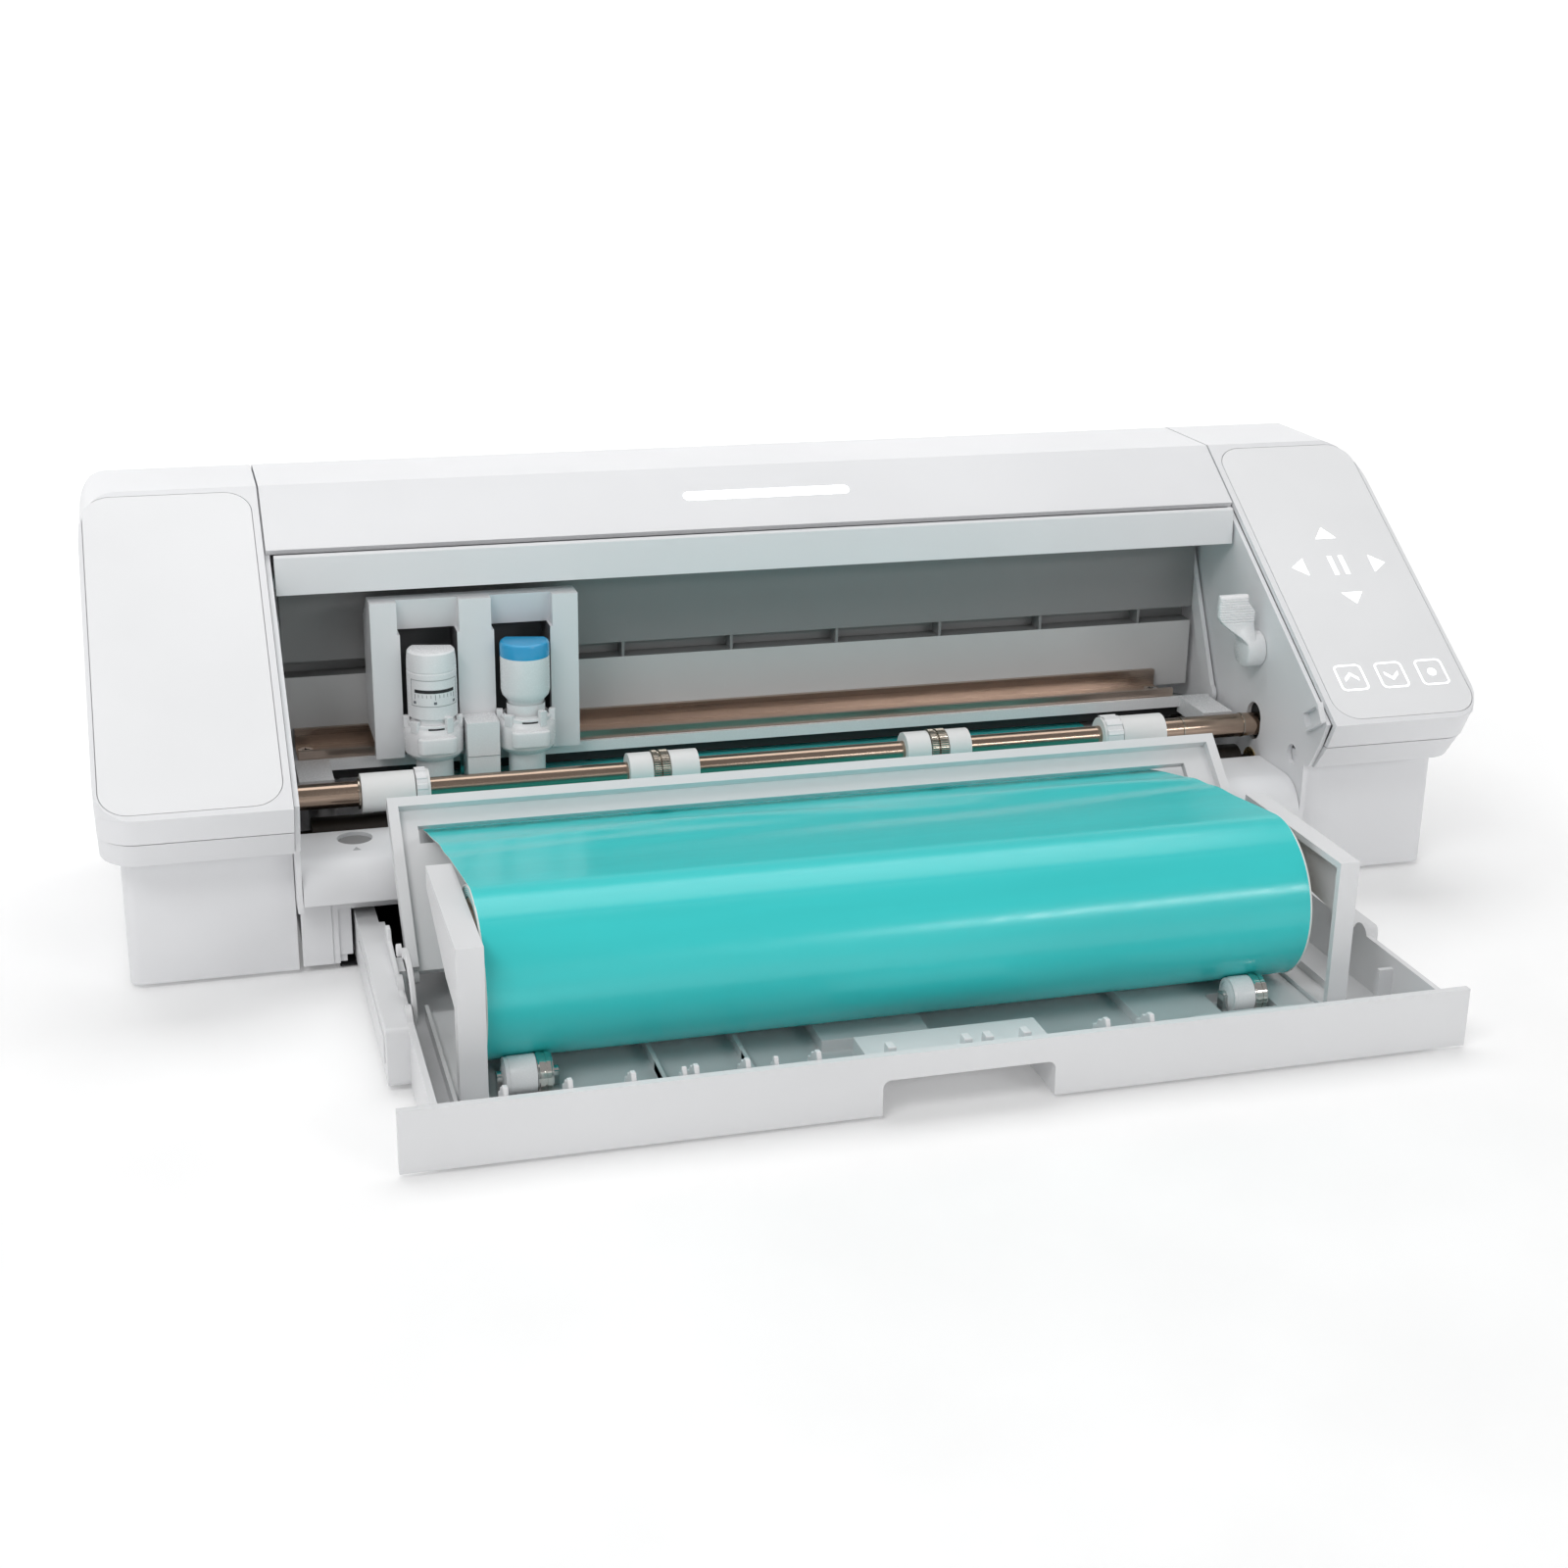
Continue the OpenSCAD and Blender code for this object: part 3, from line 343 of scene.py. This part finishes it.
def studio():
    """A pale bowl-shaped floor that glows faintly towards the back, under three soft lamps."""
    steps = 96
    flat, bend = 2.6, 1.4
    profile = [(0, 0), (2, 0), (flat, 0)]
    for k in range(1, 9):
        a = TAU / 4 * k / 8
        profile.append((flat + bend * math.sin(a), bend - bend * math.cos(a)))
    profile.append((flat + bend, 1.9))
    mesh = bpy.data.meshes.new("floor")
    verts, faces = lathe_z([(z / MM, r / MM) for r, z in profile], (0, 0), steps)
    mesh.from_pydata([[c * MM for c in v] for v in verts], [], faces)
    mesh.shade_smooth()
    floor = bpy.data.objects.new("floor", mesh)
    bpy.context.collection.objects.link(floor)
    paper = plastic("floor_paper", (0.92, 0.92, 0.92), 0.85, 900, 0.02)
    shader = paper.node_tree.nodes["Principled BSDF"]
    shader.inputs["Emission Color"].default_value = (1, 1, 1, 1)
    shader.inputs["Specular IOR Level"].default_value = 0.0
    tree = paper.node_tree
    place = tree.nodes.new("ShaderNodeTexCoord")
    split = tree.nodes.new("ShaderNodeSeparateXYZ")
    tree.links.new(place.outputs["Object"], split.inputs["Vector"])
    glow = tree.nodes.new("ShaderNodeMapRange")
    glow.inputs["From Min"].default_value = 0.0
    glow.inputs["From Max"].default_value = 3.0
    glow.inputs["To Min"].default_value = 0.12
    glow.inputs["To Max"].default_value = 0.95
    tree.links.new(split.outputs["Y"], glow.inputs["Value"])
    tree.links.new(glow.outputs["Result"], shader.inputs["Emission Strength"])
    floor.data.materials.append(paper)
    world = bpy.data.worlds.new("studio")
    world.use_nodes = True
    world.node_tree.nodes["Background"].inputs["Color"].default_value = (1, 1, 1, 1)
    world.node_tree.nodes["Background"].inputs["Strength"].default_value = 0.32
    bpy.context.scene.world = world
    softbox("top", (0.0, 0.40, 1.3), (0, 0.05, 0.1), 1.6, 0.9, 9.0)
    softbox("key", (-0.8, -0.9, 1.2), (0, 0, 0.05), 0.7, 0.5, 6.5)
    softbox("front", (0.80, -1.5, 0.74), (0.06, -0.1, 0.05), 0.62, 0.15, 3.2)
    bpy.context.scene.view_settings.view_transform = "Standard"


def paint_faces(name, material, chosen):
    """Gives another material to those faces of a CAD node that the test picks by centre and normal."""
    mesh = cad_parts[name].data
    mesh.materials.append(material)
    index = len(mesh.materials) - 1
    for face in mesh.polygons:
        if chosen([c / MM for c in face.center], face.normal):
            face.material_index = index


def in_tool_bay(centre, normal):
    """Picks the faces of the carriage cover behind the two tools."""
    near_tool = any(abs(centre[0] - x) < 11.9 for x in TOOL_X)
    return near_tool and centre[1] > 70.3 and centre[2] < 117.2


# ---------- mesh builders, all in millimetres ----------

def piece(name, verts, faces, material, body, slot=None, edge=0.0, smooth=60):
    """A mesh that rides on a CAD body."""
    mesh = bpy.data.meshes.new(name)
    mesh.from_pydata([[c * MM for c in v] for v in verts], [], faces)
    build = bmesh.new()
    build.from_mesh(mesh)
    bmesh.ops.remove_doubles(build, verts=build.verts, dist=1e-7)
    bmesh.ops.recalc_face_normals(build, faces=build.faces)
    build.to_mesh(mesh)
    build.free()
    mesh.materials.append(material)
    obj = bpy.data.objects.new(name, mesh)
    bpy.context.collection.objects.link(obj)
    mesh.shade_smooth()
    mesh.set_sharp_from_angle(angle=math.radians(smooth))
    if edge:
        bevel = obj.modifiers.new("edge", "BEVEL")
        bevel.width = edge * MM
        bevel.segments = 3
        bevel.angle_limit = math.radians(35)
    if body:
        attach(obj, body)
    return obj


def prism(outline, low, high, place):
    """Vertices and faces of an outline drawn out from low to high; place turns (u, v, w) into x, y, z."""
    n = len(outline)
    verts = [place(u, v, w) for w in (low, high) for u, v in outline]
    faces = [tuple(range(n)), tuple(range(2 * n - 1, n - 1, -1))]
    faces += [(k, (k + 1) % n, n + (k + 1) % n, n + k) for k in range(n)]
    return verts, faces


def along_x(u, v, w):
    """Places a side view, drawn as (y, z), along X."""
    return (w, u, v)


def upright(u, v, w):
    """Places a plan, drawn as (x, y), upright."""
    return (u, v, w)


def joined(parts):
    """Several (vertices, faces) pairs as one."""
    verts, faces = [], []
    for part_verts, part_faces in parts:
        start = len(verts)
        verts += part_verts
        faces += [tuple(start + k for k in face) for face in part_faces]
    return verts, faces


def box(low, high):
    """A block between two opposite corners."""
    outline = [(low[0], low[1]), (high[0], low[1]), (high[0], high[1]), (low[0], high[1])]
    return prism(outline, low[2], high[2], upright)


def lathe_x(profile, centre, steps=72, shape=None):
    """Turned shape along X from (x, radius) pairs; shape(angle, x, radius) can change a radius."""
    verts, faces = [], []
    for x, radius in profile:
        for k in range(steps):
            a = TAU * k / steps
            r = shape(a, x, radius) if shape else radius
            verts.append((x, centre[0] + r * math.cos(a), centre[1] + r * math.sin(a)))
    for row in range(len(profile) - 1):
        for k in range(steps):
            a, b = row * steps + k, row * steps + (k + 1) % steps
            faces.append((a, b, b + steps, a + steps))
    return verts, faces


def lathe_z(profile, centre, steps=72, shape=None):
    """Turned shape about an upright axis: profile is (z, radius) pairs."""
    verts, faces = lathe_x(profile, (0, 0), steps, shape)
    return [(centre[0] + y, centre[1] + z, x) for x, y, z in verts], faces


def on_circle(centre, radius, degrees):
    """The point of a circle at an angle."""
    a = math.radians(degrees)
    return (centre[0] + radius * math.cos(a), centre[1] + radius * math.sin(a))


def arc(centre, radius, start, end, steps):
    """Points on an arc, with the angles in degrees."""
    return [on_circle(centre, radius, start + (end - start) * k / steps) for k in range(steps + 1)]


# ---------- vinyl ----------

def bezier(p, q, steps):
    """Cubic curve from p[0] to q[1] with p[1] and q[0] as handles."""
    points = []
    for k in range(steps + 1):
        t = k / steps
        weights = ((1 - t) ** 3, 3 * t * (1 - t) ** 2, 3 * t * t * (1 - t), t ** 3)
        points.append(tuple(sum(w * v[i] for w, v in zip(weights, (*p, *q))) for i in (0, 1)))
    return points


def sheet_path():
    """Side view of the vinyl: round the roll, through the slot, along the cutting strip."""
    centre, slot, end = ROLL_CENTRE[1:], (-5, 57.6), (32, MEDIA_Z)
    path = []
    for k in range(25):
        radius = ROLL_R - 0.75 + 0.5 * min(1, k / 10) + 0.55 * max(0, k - 10) / 14
        path.append(on_circle(centre, radius, 140 - 2.25 * k))
    off = on_circle(centre, ROLL_R + 0.3, 84)
    path += bezier((off, on_circle(off, 30, -6)), (on_circle(slot, -30, -14), slot), 36)
    path += bezier((slot, on_circle(slot, 13, -14)), ((end[0] - 15, end[1]), end), 16)[1:]
    return path + [(104, MEDIA_Z)]


def hump(value, middle, width):
    """A smooth hump of height 1."""
    return math.exp(-((value - middle) / width) ** 2)


def sheet_ripple(x, y):
    """Height of the shallow ripples that the vinyl has before the slot."""
    ripple = 1.5 * hump(y, -32, 9) * (0.5 + 0.5 * math.sin(x / 26 + y / 12))
    ripple += 0.9 * hump(y, -52, 9) * math.sin(x / 41 - y / 14)
    return ripple + 1.2 * hump(x, -108, 34) * hump(y, -42 - x / 30, 7)


def feed_sheet():
    """The vinyl between the roll and the cutting strip, as one sheet of even thickness."""
    path = sheet_path()
    columns = 64
    thick = 0.35
    verts = []
    for k, (y, z) in enumerate(path):
        before, after = path[max(k - 1, 0)], path[min(k + 1, len(path) - 1)]
        run = math.hypot(after[0] - before[0], after[1] - before[1])
        normal = (-(after[1] - before[1]) / run, (after[0] - before[0]) / run)
        skew = -3.4 * min(1, max(0, (y + 100) / 85))
        for i in range(columns + 1):
            x = MEDIA_X[0] + (MEDIA_X[1] - MEDIA_X[0]) * i / columns
            for lift in (0, thick):
                h = sheet_ripple(x, y) + lift
                verts.append((x + skew, y + normal[0] * h, z + normal[1] * h))
    faces, row = [], 2 * (columns + 1)
    for k in range(len(path) - 1):
        a, b = k * row, (k + 1) * row
        for i in range(columns):
            j = 2 * i
            faces.append((a + j + 1, a + j + 3, b + j + 3, b + j + 1))
            faces.append((a + j, b + j, b + j + 2, a + j + 2))
        for j in (0, row - 2):
            faces.append((a + j, a + j + 1, b + j + 1, b + j))
    last = (len(path) - 1) * row
    for i in range(columns):
        j = 2 * i
        faces.append((j, j + 2, j + 3, j + 1))
        faces.append((last + j, last + j + 1, last + j + 3, last + j + 2))
    sheet = piece("feed_sheet", verts, faces, VINYL, None, "vinyl", smooth=40)
    sheet.data.materials.append(LINER)
    for face in sheet.data.polygons:
        if abs(face.normal.x) > 0.8 or face.normal.z < -0.3:
            face.material_index = 1
    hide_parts("vinyl_sheet")
    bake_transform(sheet)


def roll_edges():
    """Pale liner edge round both ends of the roll."""
    for side, x in zip(("left", "right"), MEDIA_X):
        profile = [(x + 0.35 * math.cos(a), ROLL_R - 0.02 + 0.3 * math.sin(a))
                   for a in [TAU * k / 10 for k in range(11)]]
        verts, faces = lathe_x(profile, ROLL_CENTRE[1:], 96)
        piece(side + "_liner_edge", verts, faces, LINER, "vinyl_roll", "vinyl")


# ---------- pinch shaft ----------

def knurled_rings():
    """Grooved metal rings between the white sleeves."""
    for k, (x0, x1) in enumerate(((-64.4, -57.2), (56.9, 64.8))):
        r = 8.6
        mid = (x0 + x1) / 2
        profile = [(x0, 4.4), (x0, r - 0.4), (x0 + 0.4, r), (mid - 1.3, r), (mid - 1.0, r - 0.8),
                   (mid - 0.3, r - 0.8), (mid, r), (x1 - 0.4, r), (x1, r - 0.4), (x1, 4.4)]
        verts, faces = lathe_x(profile, PINCH, 180, lambda a, x, r: r + 0.12 * math.cos(60 * a) - 0.12)
        ring = piece(f"knurled_ring_{k}", verts, faces, KNURL, "pinch_shaft", "steel", smooth=25)
        if k == 0:
            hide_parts("pinch_rings")


def toothed_collars():
    """Crowned locking collars beside the outer rollers."""
    for name, x0, x1 in (("left_collar", -161.9, -157.6), ("right_collar", 138.0, 145.3)):
        profile = [(x0, 8.0), (x0, 8.35), (x1, 8.35), (x1, 8.0)]
        verts, faces = lathe_x(profile, PINCH, 120,
                               lambda a, x, r: r + (0.5 if (a / TAU * 12) % 1 < 0.5 else 0.05))
        piece(name, verts, faces, BRIGHT, "pinch_shaft", "roller_rubber", smooth=25)


def shaft_details():
    """Retaining clips and the joint line on the thick end of the shaft."""
    for k, (x, r) in enumerate(((-184.6, 6.2), (166.6, 5.25), (175.9, 5.25), (205.0, 5.25))):
        profile = [(x - 0.35, 4.6), (x - 0.35, r + 0.2), (x + 0.35, r + 0.2), (x + 0.35, 4.6)]
        verts, faces = lathe_x(profile, PINCH, 64)
        piece(f"shaft_clip_{k}", verts, faces, KNURL, "pinch_shaft", "steel")


# ---------- tools ----------

def curved_plate(x, start, end, radii, low, high, steps=2):
    """A thin upright plate that follows a tool's round wall between two angles in degrees."""
    inner = arc((x, TOOL_Y), radii[0], start, end, steps)
    outer = arc((x, TOOL_Y), radii[1], end, start, steps)
    return prism(inner + outer, low, high, upright)


def chopped(above):
    """Flattens the back of a turned cap above a height."""
    facing, depth = math.radians(78), 4.6

    def shape(angle, height, radius):
        toward = math.cos(angle - facing)
        if height >= above and toward > 0.05:
            return min(radius, depth / toward)
        return radius
    return shape


def nozzle(x):
    """The plain lower end of a tool."""
    return lathe_z([(54.7, 1.6), (54.7, 7.2), (55.2, 7.7), (66.2, 7.7)], (x, TOOL_Y), 64)


def blade_tool_details():
    """Barrel with its chopped cap, depth window, slit and scale ticks."""
    x, r = TOOL_X[0], BARREL_R
    wall = (r - 0.1, r + 0.1)
    profile = [(84.0, 0), (84.0, 9.6), (84.4, r), (103.2, r), (103.5, r - 0.25), (103.9, r - 0.25),
               (104.2, r), (107.8, r - 0.1), (107.81, r - 0.1), (111.4, r - 0.5), (112.1, r - 1.2),
               (112.3, 0)]
    turned = lathe_z(profile, (x, TOOL_Y), 96, chopped(107.805))
    barrel = piece("blade_barrel", *turned, BRIGHT, "blade_tool", "bright_white", smooth=32)
    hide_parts("blade_tool")
    neck = lathe_z([(80.0, 9.0), (84.2, 9.0)], (x, TOOL_Y), 64)
    piece("blade_nozzle", *joined([nozzle(x), neck]), BRIGHT, "blade_tool", "bright_white", smooth=35)
    low, high = 89.8, 101.15
    frame_parts = [curved_plate(x, -152, -28, wall, z, z + 0.35, 24) for z in (low, high - 0.35)]
    frame_parts += [curved_plate(x, a, a + 1.6, wall, low, high) for a in (-152, -29.6)]
    piece("depth_window", *joined(frame_parts), LINE, "blade_tool")
    # Painted shade: the slit is a near-black band on the barrel wall.
    piece("depth_slit", *curved_plate(x, -140, -40, wall, 95.6, 97.0, 24), PAINTED_SHADE_BLACK, "blade_tool")
    ticks = []
    for k in range(11):
        a = -140 + 10 * k
        ticks.append(curved_plate(x, a, a + 0.9, wall, 93.6 if k % 5 else 92.8, 95.0))
    ticks += [curved_plate(x, a, a + 7, wall, 90.9, 92.0) for a in (-144, -93.5, -43)]
    piece("depth_ticks", *joined(ticks), GREY_INK, "blade_tool")


def pen_tool_details():
    """Round-shouldered pen barrel with a chopped blue cap."""
    x, r = TOOL_X[1], BARREL_R
    shoulder = [(86.4, 7.4), (88.0, 7.7), (88.8, 8.4), (90.4, 9.7), (92.4, r), (106.9, r)]
    barrel = lathe_z(shoulder, (x, TOOL_Y), 96)
    neck = lathe_z([(80.0, 8.0), (86.8, 8.0)], (x, TOOL_Y), 64)
    pen = piece("pen_barrel", *joined([barrel, neck, nozzle(x)]), BRIGHT, "pen_tool", "bright_white",
                smooth=32)
    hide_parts("pen_tool")
    profile = [(106.9, 9.6), (106.9, r), (111.8, r + 0.05), (112.7, r - 0.35), (113.2, r - 1.1), (113.4, 0)]
    cap = lathe_z(profile, (x, TOOL_Y), 96, chopped(111))
    blue = piece("blue_cap", *cap, BLUE, "pen_tool", "cap_blue", smooth=32)
    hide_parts("pen_tool_cap")


def clamp_details(k, body):
    """Tool clamp: flared cup, front pad, top ring with lugs and a small window."""
    x = TOOL_X[k]
    node = ("blade_tool_clamp", "pen_tool_clamp")[k]
    profile = [(66.0, 7.9), (66.0, 9.0), (67.2, 11.0), (68.8, 12.0), (77.6, 12.2), (78.8, 11.6),
               (79.9, 10.6), (79.9, 9.2), (82.6, 9.2)]
    turned = lathe_z(profile, (x, TOOL_Y), 96)
    cup = piece(f"clamp_cup_{k}", *turned, BRIGHT, body, "bright_white", smooth=28)
    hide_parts(node)
    lugs = [lathe_z([(79.7, 10.4), (81.4, 10.5), (81.8, 10.1), (81.8, 9.0)], (x, TOOL_Y), 72)]
    for a, width, top in ((-138, 18, 83.4), (-62, 15, 85.2), (-14, 12, 83.8), (172, 14, 83.6)):
        lugs.append(curved_plate(x, a - width / 2, a + width / 2, (9.6, 12.2), 78.6, top, 6))
    piece(f"clamp_lugs_{k}", *joined(lugs), BRIGHT, body, "bright_white", edge=0.35)
    pad = arc((x, TOOL_Y), 11.6, -128, -52, 14)
    pad += [(x + u, TOOL_Y - v) for u, v in ((8.2, 12.2), (6.2, 14.0), (-6.2, 14.0), (-8.2, 12.2))]
    piece(f"clamp_pad_{k}", *prism(pad, 70.4, 77.2, upright), BRIGHT, body, "bright_white", edge=1.1)
    # Painted shade: the small window is a near-black plate on the cup.
    window = curved_plate(x, -108, -72, (10.4, 10.62), 79.9, 80.6, 24)
    piece(f"clamp_window_{k}", *window, PAINTED_SHADE_BLACK, body)


# ---------- release lever ----------

def loft(sections):
    """Skin through closed sections that all have the same number of points."""
    count = len(sections[0])
    verts = [point for section in sections for point in section]
    faces = [tuple(range(count)), tuple(range(len(verts) - count, len(verts)))]
    for k in range(0, len(verts) - count, count):
        for i in range(count):
            j = (i + 1) % count
            faces.append((k + i, k + j, k + count + j, k + count + i))
    return verts, faces


def ease(value, low, high):
    """Rises smoothly from 0 at low to 1 at high."""
    t = min(1, max(0, (value - low) / (high - low)))
    return t * t * (3 - 2 * t)


def lever_piece():
    """Thumb lever: a thin ribbed paddle that curves down into a round hub."""
    y, z = LEVER
    height, steps, corner = 25.0, 80, 1.0
    sections = []
    for k in range(steps + 1):
        t = height * k / steps
        rib = 0.28 * math.cos(TAU * t / 1.17) if 12.6 < t < 24 else 0
        left = 203.2 - 12.9 * ease(t, 2, 16)
        right = 207.6 - 3.6 * min(1, max(0, (t - 17.5) / 4.5))
        front = y - 7.2 + 4.9 * ease(t, 1, 13) + rib + 0.9 * ease(t, 24, 25.2)
        back = y + 7.2 - 5.6 * ease(t, 1, 13) - 0.7 * ease(t, 24, 25.2)
        section = [(left + corner, front), (right - corner, front), (right - 0.3, front + 0.3),
                   (right, front + corner), (right, back - corner), (right - corner, back),
                   (left + corner, back), (left, back - corner), (left, front + corner),
                   (left + 0.3, front + 0.3)]
        sections.append([(a, b, z + t) for a, b in section])
    hub = lathe_x([(203.0, 0), (203.0, 6.9), (203.9, 7.8), (211.3, 7.8), (211.3, 0)], LEVER)
    spindle = lathe_x([(211.0, 0), (211.0, 3.9), (217.4, 3.9), (217.4, 0)], LEVER, 40)
    lever = piece("lever_paddle", *joined([loft(sections), hub, spindle]), BRIGHT, "release_lever",
                  "bright_white", smooth=48)
    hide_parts("release_lever")


# ---------- small fittings ----------

def screw_slots():
    """Cross recesses of the rail screws, as thin near-black plates of painted shade."""
    low, high = 63.55, 63.64
    parts = []
    for x in (-201.5, 184):
        parts.append(box((x - 1.7, 89.65, low), (x + 1.7, 90.35, high)))
        parts.append(box((x - 0.35, 88.3, low), (x + 0.35, 91.7, high)))
    piece("screw_crosses", *joined(parts), PAINTED_SHADE_BLACK, "machine")


def tray_fins():
    """Small stiffening fins along the inside of the drawer front, two of them running back as ribs."""
    fin = [(FRONT_INNER, TRAY_FLOOR), (-152, TRAY_FLOOR), (-153, 20.5), (-156, 21.5), (-157.5, 24.2),
           (-160, 24.8), (-161.5, 26.8), (-164, 27), (FRONT_INNER, 25)]
    rib = [(FRONT_INNER, TRAY_FLOOR), (-120, TRAY_FLOOR), (-120, 8.5), (-152, 8.5), (-154, 12),
           (-157, 12.5), (-158, 18), (-158.5, 22.5), (-161, 23.4), (-162, 26.5), (-163.6, 27),
           (FRONT_INNER, 24)]
    parts = [prism(fin, x - 0.9, x + 0.9, along_x)
             for x in (-158.7, -137.1, -115.7, -94.1, -76.2, -51.2, 55.3, 72.2)]
    parts += [prism(rib, x - 0.8, x + 0.8, along_x) for x in (-98.2, -66.2)]
    parts += [box((x - 1.5, -162, 18.5), (x + 1.5, -157, 24.4)) for x in (-24, 4, 12, 26)]
    piece("tray_fins", *joined(parts), FEEDER, "drawer", "feeder_white", edge=0.35)


def wheel_beds():
    """Raised beds in front of the front wheels, with small clips."""
    front = -160.5
    right = [(86, front), (152, front), (152, -136.6), (104, -136.6), (92, -141), (86, -150)]
    left = [(-157.5, front), (-128, front), (-128, -137), (-133.5, -137), (-133.5, -133.6),
            (-157.5, -133.6)]
    parts = [prism(right, TRAY_FLOOR, 10.6, upright), prism(left, TRAY_FLOOR, 8.2, upright)]
    for x, y in ((96, -158), (143, -152), (147, -150), (-150, -156), (-146, -154)):
        parts.append(box((x, y, 8), (x + 2, y + 2.4, 13.5 if x > 0 else 15)))
    piece("wheel_beds", *joined(parts), FEEDER, "drawer", "feeder_white", edge=0.5)


def wheel_caps():
    """Domed hub ends and stepped rims of the roll wheels."""
    dome = [(0, 0), (0.2, 3.2), (1.0, 5.6), (2.4, 6.85), (2.6, 6.95)]
    rim = [(0, 5.2), (0, 6.9), (0.5, 7.35), (2.2, 7.35), (2.3, 7.05), (2.9, 7.05), (3.0, 7.35),
           (4.5, 7.35), (5.0, 6.9), (5.0, 5.2)]
    for name, y in AXLES.items():
        hubs = [lathe_x([(x0 + u, r) for u, r in dome] + [(x1, 6.95)], (y, AXLE_Z), 64)
                for x0, x1 in ((-154.6, -142.7), (120.6, 130.0))]
        piece(name + "_hub_caps", *joined(hubs), BRIGHT, name + "_wheels", "bright_white", smooth=50)
        rims = [lathe_x([(x0 + u, r) for u, r in rim], (y, AXLE_Z), 72) for x0 in (-142.3, 130.2)]
        piece(name + "_rims", *joined(rims), CHROME, name + "_wheels", "steel", smooth=30)


def slide_members():
    """Long raised runners outside both drawer slides, and the thin inner slide at the left."""
    runners = [box((x0, -100, 8.5), (x1, -12, 18.5)) for x0, x1 in ((-192.1, -191.4), (194.9, 195.5))]
    piece("slide_runners", *joined(runners), FEEDER, "drawer", "feeder_white", edge=0.3)
    side = [(-104, 4.6), (-30, 4.6), (-30, 30.5), (-33, 32.8), (-37, 32.8), (-40, 29), (-104, 22)]
    inner = prism(side, -183.3, -181.6, along_x)
    piece("inner_slide", *inner, FEEDER, "drawer", "feeder_white", edge=0.4)


def deck_mark():
    """Raised pointer beside the dimple on the front lip."""
    x = DIMPLE[0] - 0.4
    mark = prism([(x - 1.6, 8.4), (x + 1.6, 8.4), (x, 11.8)], 47.9, 48.08, upright)
    piece("deck_mark", *mark, LINE, "machine")


def bay_shadow_sheet():
    """Painted shade: a near-black sheet on the floor and back of the drawer bay; also the white filler
    between pedestal and bay.
    """
    parts = [box((-198, 5, 0.7), (201, 99, 1.3)), box((-198, 97.6, 1.3), (201, 98.2, 25.6))]
    piece("bay_shadow_sheet", *joined(parts), PAINTED_SHADE_BLACK, "machine")
    cheek = [box((-212.4, 2.4, 3.2), (-200.4, 3.0, 32.6)), box((-200.4, 4.2, 6), (-192.8, 4.8, 25.9))]
    piece("bay_cheek", *joined(cheek), WHITE, "machine", edge=0.2)


def flap_stays():
    """Bowed stay arms with a pin that prop the flap at both ends of the tray."""
    elbow = (-74, 18)
    for side, x in (("left", -180.6), ("right", 183.2)):
        outer = arc(elbow, 21, 175, 52, 20)
        inner = arc(elbow, 17.2, 52, 175, 20)
        arm = prism(outer + inner, x, x + 1.8, along_x)
        pin = lathe_x([(x - 1.6, 0), (x - 1.6, 2.4), (x + 0.2, 2.4)], (-61, 34.3), 32)
        piece(side + "_stay", *joined([arm, pin]), FEEDER, "drawer", "feeder_white", edge=0.3)


for node_name, node_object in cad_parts.items():
    dress(node_name, node_object)
paint_faces("carriage_cover", SHADE, in_tool_bay)
# Painted shade: the upper back wall and its ribbed slot, under the lid strip, are given dark grey.
paint_faces("back_wall", SHADED, lambda c, n: c[2] > 91.2)
# Painted shade: the inner face of the left side plate, shadowed by the left pod, is dark grey.
paint_faces("left_side_plate", SHADED, lambda c, n: n.x > 0.5 and c[1] > 30)
# Painted shade: the underside of the base pan, the roof of the drawer bay, is near black.
paint_faces("base_pan", PAINTED_SHADE_BLACK, lambda c, n: n.z < -0.5 and c[2] > 20)
# Painted shade: the inside of the dimple in the front deck is dark grey.
paint_faces("front_deck", SHADED, lambda c, n: math.dist(c[:2], DIMPLE) < 6.9 and c[2] < 47.8)
paint_faces("vinyl_roll", ROLL_END, lambda c, n: abs(n.x) > 0.9)
for wheels in ("front_wheels", "rear_wheels"):
    paint_faces(wheels, STEEL, lambda c, n: -142.55 < c[0] < -136.9 or c[0] > 130.05)
feed_sheet()
roll_edges()
knurled_rings()
toothed_collars()
shaft_details()
blade_tool_details()
pen_tool_details()
clamp_details(0, "blade_tool")
clamp_details(1, "pen_tool")
lever_piece()
screw_slots()
tray_fins()
wheel_beds()
wheel_caps()
slide_members()
bay_shadow_sheet()
deck_mark()
flap_stays()
studio()
photo_camera()
